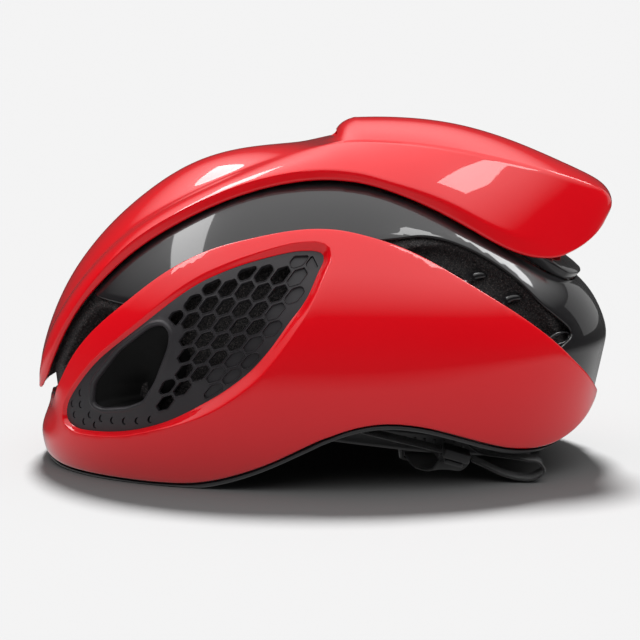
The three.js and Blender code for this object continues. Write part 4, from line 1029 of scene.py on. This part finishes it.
# Raised lip round a cell and its wall; a groove's wall; the bead round the duct and its funnel's start.
cell_hem = hem_of([
    (0.06, -0.16), (0.15, -0.34), (0.27, -0.36), (0.38, -0.20), (0.46, 0.10), (0.50, 0.8),
    (0.50, GRILLE_THICKNESS - 0.3), (0.30, GRILLE_THICKNESS),
])
groove_hem = hem_of([(0, 0.1), (0, 1.0), (0, 2.0), (0, GRILLE_THICKNESS)])
duct_hem = hem_of([
    (0.3, -0.1), (0.8, -0.45), (1.3, -0.65), (1.8, -0.6), (2.2, -0.35), (2.5, 0.1), (2.65, 0.8), (2.8, 1.6),
    (2.7, GRILLE_THICKNESS),
])
LONGEST_GROOVE, LONGEST_CELL = 20.5, 60


def is_duct(points):
    return 90 < length_of(points) < 300 and points[:, 1].max() < -60


def is_cell(points):
    return LONGEST_GROOVE < length_of(points) < LONGEST_CELL


def is_groove(points):
    return length_of(points) <= LONGEST_GROOVE


def prism(outline, near, far):
    """Closed plate between two depths under the grille's face."""
    count = len(outline)
    level = np.vstack([outline, outline.mean(axis=0)])
    faces = []
    for i in range(count):
        k = (i + 1) % count
        faces += [(count, i, k), (2 * count + 1, count + 1 + k, count + 1 + i),
                  (i, count + 1 + i, count + 1 + k, k)]
    return np.vstack([side_point(level, near), side_point(level, far)]), faces


def grille_panel():
    holes = [grow_outline(DUCT, 2.6)] + [grow_outline(cell, LIP_WIDTH) for cell in CELLS] + GROOVE_OUTLINES
    chart, faces = fill_area(GRILLE_EDGE, holes, GRILLE_SPACING)
    panel = shell(side_point(chart), side_normal(chart), faces, GRILLE_THICKNESS, hem_steps=5,
                  hems=[(is_cell, cell_hem), (is_groove, groove_hem), (is_duct, duct_hem)])
    return merge_parts([panel] + [prism(grow_outline(cell, 0.25), 1.1, 2.0) for cell in BLIND_CELLS])


def duct_funnel():
    """Smooth cup behind the grille's duct, narrowing backwards into the foam."""
    rim = grow_outline(DUCT, -0.1)
    middle = DUCT.mean(axis=0)

    def level(t, grow, extra):
        pts = grow_outline(lerp(rim, middle, 0.34 * t ** 0.8), grow) + np.array([14 * t ** 1.2, -3 * t])
        shallow = 1 - 0.72 * smooth(-104, -80, y_of(pts[:, 0]))
        return side_point(pts, GRILLE_THICKNESS - 0.9 + 17 * t * shallow + extra)

    steps = np.linspace(0, 1, 9)
    outside = [level(t, 1.0, 1.2 if t == 1 else 0.0) for t in steps[::-1]]
    return loft(outside + [level(t, 0.0, 0.0) for t in steps])


GRILLE_EDGE, DUCT, CELLS, BLIND_CELLS, GROOVE_OUTLINES = grille_outlines()
panel_solid, funnel_solid = grille_panel(), duct_funnel()
for word, side in SIDES:
    add_piece(f"grille_panel_{word}", panel_solid, GRILLE, "grille", f"grille_{word}", corners=42, side=side)
    # The funnel takes the darker duct plastic, painted shade inside the duct.
    add_piece(f"duct_funnel_{word}", funnel_solid, DUCT_PAINTED_SHADE, "grille", corners=42, side=side)

# ------------------------------------------------------------------ foam liner


def node_copy(node_name, name):
    obj = bpy.data.objects.new(name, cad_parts[node_name].data.copy())
    bpy.context.scene.collection.objects.link(obj)
    return obj


def voxel_copy(node_name, name, voxel, smoothing, material):
    """Moulded version of a plain solid with soft edges."""
    obj = node_copy(node_name, name)
    remesh = obj.modifiers.new("remesh", "REMESH")
    remesh.mode = "VOXEL"
    remesh.voxel_size = voxel * MM
    relax = obj.modifiers.new("relax", "SMOOTH")
    relax.iterations = smoothing
    relax.factor = 0.5
    apply_modifiers(obj)
    dress(obj, material)
    return obj


def dress(obj, material):
    obj.data.materials.clear()
    obj.data.materials.append(material)
    obj.data.polygons.foreach_set("use_smooth", [True] * len(obj.data.polygons))


def follow_back(obj):
    """Moves the foam's outer face with the back of the shells."""
    p = np.array([v.co for v in obj.data.vertices]) / MM
    z = p[:, 2]
    old = radius(SOLID_REAR_TABLE, z)
    across = np.abs(p[:, 0]) / radius(SIDE_TABLE, z)
    reach = (across ** PLAN_POWER + np.abs(p[:, 1] / old) ** PLAN_POWER) ** (1 / PLAN_POWER)
    share = smooth(0.86, 0.93, reach) * (p[:, 1] > 0)
    p[:, 1] *= lerp(1.0, radius(REAR_TABLE, z) / old, share)
    obj.data.vertices.foreach_set("co", (p * MM).ravel())
    obj.data.update()


LINER_VOXEL, LINER_RELAX_STEPS = 1.6, 6
liner = voxel_copy("foam_liner", "foam_liner_moulding", LINER_VOXEL, LINER_RELAX_STEPS, FOAM)
follow_back(liner)
place(liner, "helmet", "foam", "foam_liner")

RIBS = [[(59, 93.5), (68, 97), (77.5, 98.8)], [(77.5, 82), (86, 86), (94.5, 88.2)]]
SLOT_MIDDLE, SLOT_SIZE, SLOT_TILT = (115.0, 68.2), (6.8, 3.0), math.radians(14)


def on_foam(y, z):
    """Outer side of the foam at a place in the side view, and how it faces there."""
    hit, point, normal, _ = liner.ray_cast(Vector((0.2, y * MM, z * MM)), Vector((-1, 0, 0)))
    if hit:
        return np.array(point) / MM, np.array(normal)
    return dome(angle_at(y, z), z, 9.0), np.array((1.0, 0, 0))


def vent_rib(route):
    """Smooth raised bar with tapered ends, moulded on the foam in the rear vent."""
    t = np.linspace(0, 1, 22)
    points, normals = zip(*(on_foam(y, z) for y, z in catmull(route, t)))
    run = blur(np.array(points), 1.2)
    face = unit(blur(np.array(normals), 3))
    across = unit(np.cross(face, unit(np.gradient(run, axis=0))))
    width = 2.4 * np.sqrt(np.maximum(0.04, 1 - np.clip((t - 0.72) / 0.28, 0, 1) ** 2))
    a = np.linspace(0, math.tau, 20, endpoint=False)[:, None]
    return loft([run[k] + across[k] * np.cos(a) * width[k] + face[k] * (np.sin(a) * width[k] * 0.9 + 1.1)
                 for k in range(len(t))])


def slot_lip():
    """Oval lip round the slot at the lower end of the rear vent."""
    a = np.linspace(0, math.tau, 72, endpoint=False)
    u, v = SLOT_SIZE[0] * np.cos(a), SLOT_SIZE[1] * np.sin(a)
    y = SLOT_MIDDLE[0] + u * math.cos(SLOT_TILT) - v * math.sin(SLOT_TILT)
    z = SLOT_MIDDLE[1] + u * math.sin(SLOT_TILT) + v * math.cos(SLOT_TILT)
    angle = angle_at(y, z)
    centre = dome(angle, z, 5.4)
    n = dome_normal(angle, z)
    out = centre - centre.mean(axis=0)
    out = unit(out - n * (out * n).sum(1, keepdims=True))
    ring = np.linspace(0, math.tau, 14, endpoint=False)
    return loft(np.stack([centre + out * math.cos(b) + n * math.sin(b) for b in ring], 1), closed=True)


for word, side in SIDES:
    for number, route in enumerate(RIBS, 1):
        add_piece(f"vent_rib_{number}_{word}", vent_rib(route), GLOSS_BLACK, "black_shell", corners=50,
                  side=side)
    add_piece(f"vent_slot_lip_{word}", slot_lip(), GLOSS_BLACK, "black_shell", side=side)

# ------------------------------------------------------------------ rim and tail base

RIM_REAR_Z, RIM_DROP, GAP = 33.6, 2.6, 0.4


def rim_path(count):
    """Plan angle and height of the shell's lower edge, all the way round."""
    half = np.vstack([[(0.0, BROW_BOTTOM_Z)], plan_points([s[1] for s in LOWER_STATIONS])])
    loop = round_the_back(half, (180.0, RIM_REAR_Z + 1))
    curve = catmull(loop, np.linspace(0, 1, count, endpoint=False))
    return curve[:, 0], blur(curve[:, 1], count / 120, closed=True)


def base_rim():
    angle, z = rim_path(300)
    tuck = smooth(92, 122, dome(angle, z)[:, 1])
    low = np.maximum(0, z - RIM_DROP * (1 - 0.8 * tuck))
    high = z - 2 * GAP + 0.2
    profile = [(1.9, 0.0), (0.9, 0.10), (0.45, 0.35), (0.3, 0.62), (0.35, 0.86), (0.7, 1.0),
               (4.0, 1.02), (7.4, 1.0), (8.0, 0.86), (8.1, 0.4), (7.7, 0.12), (6.9, 0.0)]
    loops = []
    for inset, t in profile:
        level = lerp(low, high, t)
        p = dome(angle, level, inset + 1.5 * tuck * (inset < 3))
        p[:, 2] = level
        loops.append(p)
    return loft(np.stack(loops, 1), closed=True)


add_piece("base_rim_moulding", base_rim(), RIM, "rim", "base_rim", corners=50)

# Rows of y, z and how far the frame stands out.
TAIL_BASE = [
    (60, 131, 1.2), (72, 124.6, 1.5), (83, 117.4, 1.8), (93, 110.6, 2.2), (101, 104.8, 2.7),
    (107.5, 100.9, 2.9), (112.5, 98.2, 2.7), (116, 96.6, 2.2), (119, 95.2, 1.9),
]


def tail_base():
    loop = round_the_back(plan_points(TAIL_BASE), (180.0, 94.2, 1.6))
    angle, z, height = blur(catmull(loop, np.linspace(0, 1, 181)), 3).T
    up = 2.4 + 5.6 * smooth(104, 119, dome(angle, z)[:, 1])
    low = MID_INSET - GAP
    section = [(low, 0.0), (-0.55, 0.0), (-0.85, 0.05), (-1.0, 0.3), (-1.0, 0.7), (-0.85, 0.95), (-0.55, 1.0),
               (low, 1.0)]
    loops = [dome(angle, z + up * t, reach if reach > 0 else reach * height) for reach, t in section]
    return loft(np.stack(loops, 1))


add_piece("tail_base_frame", tail_base(), GLOSS_BLACK, "black_shell", "tail_base", corners=60)

# ------------------------------------------------------------------ webbing

STRAP_WIDTH, STRAP_THICKNESS = 15.0, 1.4
ALONG_X, ALONG_Y = (1, 0, 0), (0, 1, 0)
FRONT_STRAP = [
    ((76.5, -24, 42), ALONG_Y), ((75.5, -20, 36), (0.15, 1, 0)), ((73.5, -10, 31.5), (0.6, 0.8, 0)),
    ((70.5, 4, 27.5), (0.95, 0.3, 0)), ((69.5, 18, 24), ALONG_X), ((69.5, 32, 20.5), ALONG_X),
    ((69.5, 44, 17.6), ALONG_X), ((69.5, 55.4, 14.7), ALONG_X),
]
REAR_STRAP = [
    ((70, 70.2, 10.4), ALONG_X), ((70.3, 76, 7.8), ALONG_X), ((70.5, 83, 4.4), ALONG_X),
    ((70.5, 91, 1.9), ALONG_X), ((70.5, 99, 1.5), ALONG_X), ((70, 104.2, 4.6), ALONG_X),
    ((68.8, 102.6, 8.6), (1, -0.1, 0)), ((66.2, 95.5, 10.2), (1, -0.2, 0)),
    ((62.5, 86.5, 11), (0.95, -0.35, 0)), ((58, 77.8, 12), (0.8, -0.6, 0)),
    ((55.2, 72.8, 17.6), (0.68, -0.73, 0)), ((55.3, 71.5, 28), (0.62, -0.78, 0)),
    ((55.3, 71.5, 38), (0.62, -0.78, 0)),
]
CHIN_STRAP = [
    ((60.6, 62.5, 10), ALONG_Y), ((58.4, 61.5, 5.4), ALONG_Y), ((53, 58, 1.9), ALONG_Y),
    ((46, 51.5, 1.8), ALONG_Y), ((39, 48, 3.4), ALONG_Y), ((32, 47, 4.3), ALONG_Y), ((23.2, 47, 4.4), ALONG_Y),
]


def webbing_strap(route, side):
    """Flat woven strap: crossing ribs over its faces and a thicker selvedge along each edge."""
    points, widths = zip(*route)
    fine = catmull(points, np.linspace(0, 1, 600), power=0)
    length = float(np.linalg.norm(np.diff(fine, axis=0), axis=1).sum())
    count = int(length / 0.55)
    path = resample(fine, count)
    turn = catmull(widths, np.linspace(0, 1, count), power=0)
    ahead = unit(np.gradient(path, axis=0))
    across = unit(turn - ahead * (turn * ahead).sum(1, keepdims=True))
    through = np.cross(ahead, across)
    along = np.linspace(0, length, count)[:, None]
    columns = np.linspace(-1, 1, 25)
    selvedge = smooth(0.80, 0.87, np.abs(columns)) * (1 - smooth(0.95, 1.0, np.abs(columns)))
    edge = np.sqrt(np.maximum(0, 1 - smooth(0.93, 1.0, np.abs(columns)) ** 1.5))
    flat_lift = STRAP_THICKNESS / 2 * (0.80 + 0.16 * selvedge) * np.maximum(edge, 0.25)
    loops = []
    for face in (1, -1):
        wave = np.sin(along * math.tau / 2.2 + np.arange(25) * math.pi * 0.5 * face)
        lift = flat_lift + 0.07 * wave * (1 - selvedge)
        skin = [path + across * (u * STRAP_WIDTH / 2) + through * (face * lift[:, k, None])
                for k, u in enumerate(columns)]
        loops += skin[::face]
    return *loft(np.stack(loops, 1) * (side, 1, 1)), length / 1000


STRAPS = (
    ("front_strap", FRONT_STRAP, ("front_anchor", "strap_divider")),
    ("rear_strap", REAR_STRAP, ("rear_anchor", "strap_divider")),
    ("chin_strap", CHIN_STRAP, ("strap_divider",)),
)
for word, side in SIDES:
    for kind, route, rests in STRAPS:
        verts, faces, length = webbing_strap(route, side)
        strap = fix_normals(make_object(f"{kind}_webbing_{word}", verts, faces, WEBBING))
        if (kind, word) == ("chin_strap", "right"):
            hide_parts("chin_strap_right")
            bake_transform(strap)
        else:
            place(strap, "helmet", "webbing", f"{kind}_{word}")
        [f"{rest}_{word}" for rest in rests]

# ------------------------------------------------------------------ pads

PAD_SWELL = 0.8
CLOTH_FRAMES = 12
PAD_VOXEL, PAD_RELAX_STEPS = 1.5, 5
PADS = {
    "helmet": ("brow_pad", "side_pad_left", "side_pad_right", "rear_pad_left", "rear_pad_right",
               "crown_pad_front"),
    "cradle": ("cradle_pad",),
}


def vertex_places(obj):
    return np.array([v.co for v in obj.data.vertices])


def swell(obj, limit):
    """A short cloth run under pressure, held to the limit in millimetres."""
    start = vertex_places(obj)
    cloth = obj.modifiers.new("swell", "CLOTH")
    cloth.settings.use_pressure = True
    cloth.settings.uniform_pressure_force = 4
    cloth.settings.effector_weights.gravity = 0
    cloth.settings.tension_stiffness = 15
    cloth.settings.compression_stiffness = 15
    cloth.point_cache.frame_start = 1
    cloth.point_cache.frame_end = CLOTH_FRAMES
    scene = bpy.context.scene
    for step in range(1, CLOTH_FRAMES + 1):
        scene.frame_set(step)
    apply_modifiers(obj)
    scene.frame_set(1)
    move = vertex_places(obj) - start
    size = np.linalg.norm(move, axis=1, keepdims=True)
    start += move * np.minimum(1, limit * MM / np.maximum(size, 1e-9))
    obj.data.vertices.foreach_set("co", start.ravel())


def soft_pad(node_name, body):
    """Knitted cover over a foam block."""
    obj = voxel_copy(node_name, f"{node_name}_cover", PAD_VOXEL, PAD_RELAX_STEPS, KNIT)
    swell(obj, PAD_SWELL)
    finer = obj.modifiers.new("finer", "SUBSURF")
    finer.levels = 1
    apply_modifiers(obj)
    dress(obj, KNIT)
    place(obj, body, "padding", node_name)


for body, names in PADS.items():
    for name in names:
        soft_pad(name, body)

# ------------------------------------------------------------------ moulded fittings


def bevelled_piece(node_name, body, width, material=PLASTIC, slot="fittings"):
    """Moulded version of a plain solid: merged flats and rounded edges."""
    obj = node_copy(node_name, f"{node_name}_moulding")
    bm = bmesh.new()
    bm.from_mesh(obj.data)
    bmesh.ops.remove_doubles(bm, verts=bm.verts, dist=MERGE_DISTANCE)
    bmesh.ops.dissolve_limit(bm, angle_limit=math.radians(1.5), verts=bm.verts, edges=bm.edges)
    bm.to_mesh(obj.data)
    bm.free()
    bevel = obj.modifiers.new("edges", "BEVEL")
    bevel.width = width * MM
    bevel.segments = 3
    bevel.limit_method = "ANGLE"
    bevel.angle_limit = math.radians(32)
    bevel.use_clamp_overlap = True
    apply_modifiers(obj)
    dress(obj, material)
    soften_corners(obj, 38)
    place(obj, body, slot, node_name)


FITTING_EDGE, PINION_EDGE = 0.55, 0.35
FITTINGS = {
    "helmet": ("front_anchor_left", "front_anchor_right", "rear_anchor_left", "rear_anchor_right",
               "strap_divider_left", "strap_divider_right", "temple_anchor_left", "temple_anchor_right",
               "height_guide", "buckle_socket"),
    "lever_left": ("divider_lever_left",), "lever_right": ("divider_lever_right",),
    "buckle_tongue": ("buckle_tongue",), "cradle": ("dial_housing", "cradle"), "dial": ("dial_pinion",),
}
for body, names in FITTINGS.items():
    for name in names:
        bevelled_piece(name, body, PINION_EDGE if name == "dial_pinion" else FITTING_EDGE)
bevelled_piece("strap_keeper", "helmet", 0.5, RUBBER, "rubber")

# ------------------------------------------------------------------ dial knob

DIAL_Z, KNOB_RADIUS, KNOB_FRONT, KNOB_BACK = 13.5, 12.6, 104.8, 111.8


def grip_wheel():
    """Scalloped rim, rounded shoulders and a dished face with a raised hub."""
    teeth, around = 20, 240
    profile = [(0.55, 0.0, 0.0), (0.90, 0.0, 0.2), (0.97, 0.06, 0.7), (1.0, 0.18, 1.0), (1.0, 0.78, 1.0),
               (0.975, 0.93, 0.8), (0.93, 0.99, 0.4), (0.86, 1.0, 0.1), (0.80, 0.96, 0.0), (0.74, 0.80, 0.0),
               (0.60, 0.74, 0.0), (0.42, 0.74, 0.0), (0.38, 0.80, 0.0), (0.34, 0.88, 0.0), (0.20, 0.90, 0.0)]
    a = np.linspace(0, math.tau, around, endpoint=False)
    scallop = (0.5 - 0.5 * np.cos(a * teeth)) ** 0.7
    loops = []
    for share, depth, grip in profile:
        r = KNOB_RADIUS * share - 0.85 * grip * (1 - scallop)
        y = lerp(KNOB_FRONT, KNOB_BACK, depth)
        loops.append(np.stack([r * np.sin(a), np.full(around, y), DIAL_Z + r * np.cos(a)], 1))
    return loft(loops)


add_piece("dial_grip_wheel", grip_wheel(), RUBBER, "dial", "dial_knob", body="dial", corners=45)

# ------------------------------------------------------------------ retention bands

# Stations past the shoulder: x, y, and the heights of the lower and upper edge.
BAND_SIDE = [
    (45.8, 84, 7, 17), (47.5, 73, 7.5, 17.5), (50.5, 61, 8.5, 18.5), (54, 45, 10.5, 20.5),
    (57.5, 25, 13.5, 23.5), (60, 5, 16.5, 26.5), (63.5, -15, 20, 30), (66.5, -32, 22.5, 32.5),
    (67.5, -46, 24, 34),
]
RACK_X, RACK_Y, TOOTH_PITCH, TOOTH_DEPTH = (-8, 14, 36), 96.7, 2.4, 0.9
BAND_THICKNESS = 1.3
# Side, heights of the rack over or under the pinion, and the shoulder's stations.
BANDS = {
    "left": (1, (18.2, 22), [(41.5, 95, 10, 19.5), (44.6, 90.5, 7.6, 17.6)]),
    "right": (-1, (5, 8.8), [(41.5, 95, 5, 14), (44.6, 90.5, 6.4, 16)]),
}


def rounded_bar(centre, size, corner, axes):
    """Small rounded block given by its middle, size and axes."""
    half = np.asarray(size, float) / 2
    r = min(corner, *(half * 0.98))
    ax = np.asarray(axes, float)
    ring = [(math.cos(a), math.sin(a)) for a in np.linspace(0, math.tau, 17)[:-1] + math.tau / 32]
    rounding = ((1.0, 0.0), (0.35, 0.35), (0.0, 1.0))
    loops = []
    for level, steps in ((-1, rounding), (1, rounding[::-1])):
        for shrink, drop in steps:
            reach = r * (1 - 0.9 * shrink)
            height = level * (half[2] - r * drop)
            loops.append([
                centre + ax[0] * (math.copysign(half[0] - r, c) + c * reach)
                + ax[1] * (math.copysign(half[1] - r, s) + s * reach) + ax[2] * height for c, s in ring
            ])
    return loft(loops)


def retention_band(side, rack, shoulder, teeth_down):
    """Flexible strip with rounded edges, a thin raised border, and a toothed rack at its rear end."""
    stations = [(x, RACK_Y, *rack) for x in RACK_X] + shoulder + BAND_SIDE
    t = np.linspace(0, 1, 900)
    low = catmull([(x, y, lo) for x, y, lo, _ in stations], t)
    high = catmull([(x, y, hi) for x, y, _, hi in stations], t)
    count = 420
    both = resample(np.hstack([low, high]), count)
    low, high = both[:, :3], both[:, 3:]
    ahead = unit(np.gradient(low, axis=0) * (1, 1, 0))
    through = np.stack([-ahead[:, 1], ahead[:, 0], np.zeros(count)], 1)
    tooth = np.abs(((low[:, 0] / TOOTH_PITCH) % 1) - 0.5) * 2
    on_rack = smooth(31, 28, low[:, 0]) * (low[:, 1] > 96)
    bite = (TOOTH_DEPTH * tooth * on_rack)[:, None] * (0, 0, 1)
    if teeth_down:
        low = low + bite
    else:
        high = high - bite
    section = [(0.06, -0.5), (0.0, -0.22), (0.0, 0.22), (0.06, 0.5), (0.16, 0.5), (0.2, 0.34), (0.5, 0.32),
               (0.8, 0.34), (0.84, 0.5), (0.94, 0.5), (1.0, 0.22), (1.0, -0.22), (0.94, -0.5), (0.5, -0.5)]
    parts = [loft(np.stack([lerp(low, high, v) + through * (BAND_THICKNESS * u) for v, u in section], 1))]
    for at in np.arange(0.34, 0.60, 0.025):
        k = int(at * count)
        centre = lerp(low[k], high[k], 0.5) + through[k] * 0.45
        parts.append(rounded_bar(centre, (1.5, 4.0, 0.7), 0.3, (ahead[k], (0, 0, 1), through[k])))
    verts, faces = merge_parts(parts)
    return verts * (side, 1, 1), faces


for word, (side, rack, shoulder) in BANDS.items():
    solid = retention_band(side, rack, shoulder, teeth_down=word == "left")
    add_piece(f"retention_band_{word}", solid, PLASTIC, "fittings", f"band_{word}", body=f"band_{word}",
              corners=50)

# ------------------------------------------------------------------ camera, floor and light

CAMERA_DISTANCE, CAMERA_ELEVATION = 1.2, math.radians(8)
CAMERA_LENS, CAMERA_SHIFT = 132.67125, -0.0046875
AIM = Vector((0.0, -0.0015, 0.0679))
FLOOR_HALF, FLOOR_Z = 150000, -0.3
TABLE_LIGHT_ELEVATION, TABLE_LIGHT_ANGLE, TABLE_LIGHT_ENERGY = math.radians(57), math.radians(12), 18.6
WORLD_STRENGTH = 1.62
# Brightness of the surroundings by elevation: pale table below, dark sides, bright overhead.
WORLD_STOPS = [(-90, 0.36), (-15, 0.34), (-8, 0.03), (24, 0.03), (37, 0.55), (52, 1.0), (90, 1.0)]


def facing(direction):
    return Vector(direction).to_track_quat("-Z", "Y").to_euler()


def add_to_scene(name, data, location, direction):
    obj = bpy.data.objects.new(name, data)
    obj.location = location
    obj.rotation_euler = facing(direction)
    bpy.context.scene.collection.objects.link(obj)
    return obj


def add_camera():
    data = bpy.data.cameras.new("camera")
    data.sensor_width = 36
    data.lens = CAMERA_LENS
    data.shift_x = CAMERA_SHIFT
    reach = Vector((math.cos(CAMERA_ELEVATION), 0, math.sin(CAMERA_ELEVATION))) * CAMERA_DISTANCE
    bpy.context.scene.camera = add_to_scene("camera", data, AIM + reach, -reach)


def add_floor():
    material = new_material("floor_pale", (0.15, 0.15, 0.15), 0.8, Specular_IOR_Level=0)
    corners = [(x * FLOOR_HALF, y * FLOOR_HALF, FLOOR_Z) for x, y in ((-1, -1), (1, -1), (1, 1), (-1, 1))]
    floor = make_object("floor", corners, [(0, 1, 2, 3)], material, False)
    floor.visible_glossy = False
    return floor


def light_group(name, floor):
    group = bpy.data.collections.new(name)
    group.objects.link(floor)
    return group


def add_area(name, location, target, size, energy):
    data = bpy.data.lights.new(name, "AREA")
    data.shape = "RECTANGLE"
    data.size, data.size_y = size
    data.energy = energy
    light = add_to_scene(name, data, location, Vector(target) - Vector(location))
    light.light_linking.receiver_collection = table_unlit
    light.visible_camera = False
    return light


def add_table_light():
    """Soft light from behind and above that reaches the table only, so the shadow falls in front."""
    data = bpy.data.lights.new("table_light", "SUN")
    data.angle = TABLE_LIGHT_ANGLE
    data.energy = TABLE_LIGHT_ENERGY
    direction = (math.cos(TABLE_LIGHT_ELEVATION), 0, -math.sin(TABLE_LIGHT_ELEVATION))
    light = add_to_scene("table_light", data, (0, 0, 0), direction)
    light.light_linking.receiver_collection = light_group("table_lit", table)


def studio_world():
    """Bright overhead, dark round the sides, and pale below for reflections of the table."""
    world = bpy.data.worlds.new("studio")
    world.use_nodes = True
    t = world.node_tree
    direction = t.nodes.new("ShaderNodeTexCoord")
    split = t.nodes.new("ShaderNodeSeparateXYZ")
    t.links.new(direction.outputs["Generated"], split.inputs["Vector"])
    level = t.nodes.new("ShaderNodeMapRange")
    level.inputs["From Min"].default_value = -1
    level.inputs["From Max"].default_value = 1
    t.links.new(split.outputs["Z"], level.inputs["Value"])
    stops = [((math.sin(math.radians(elevation)) + 1) / 2, grey) for elevation, grey in WORLD_STOPS]
    background = t.nodes["Background"]
    t.links.new(ramp(t, level.outputs["Result"], *stops), background.inputs["Color"])
    background.inputs["Strength"].default_value = WORLD_STRENGTH
    bpy.context.scene.world = world


add_camera()
table = add_floor()
table_unlit = light_group("table_unlit", table)
table_unlit.collection_objects[0].light_linking.link_state = "EXCLUDE"
add_table_light()
studio_world()
bpy.context.scene.view_settings.view_transform = "Standard"

add_area("front_strip", (-0.3, -0.68, 1.2), (0, 0, 0.08), (1.5, 0.3), 9)
add_area("rear_strip", (-0.53, 0.98, 1.2), (0, 0, 0.08), (0.36, 0.4), 3.4)
add_area("hood_strip", (0.22, 0.58, 1.2), (0, 0, 0.08), (0.26, 0.3), 1.6)
fill = add_area("fill_card", (2.0, 0, 0.35), (0, 0, 0.06), (2.0, 0.8), 3.5)
fill.visible_glossy = False
add_area("rear_card", (-0.8, 1.0, 0.35), (0, 0, 0.08), (0.9, 0.5), 0.6)
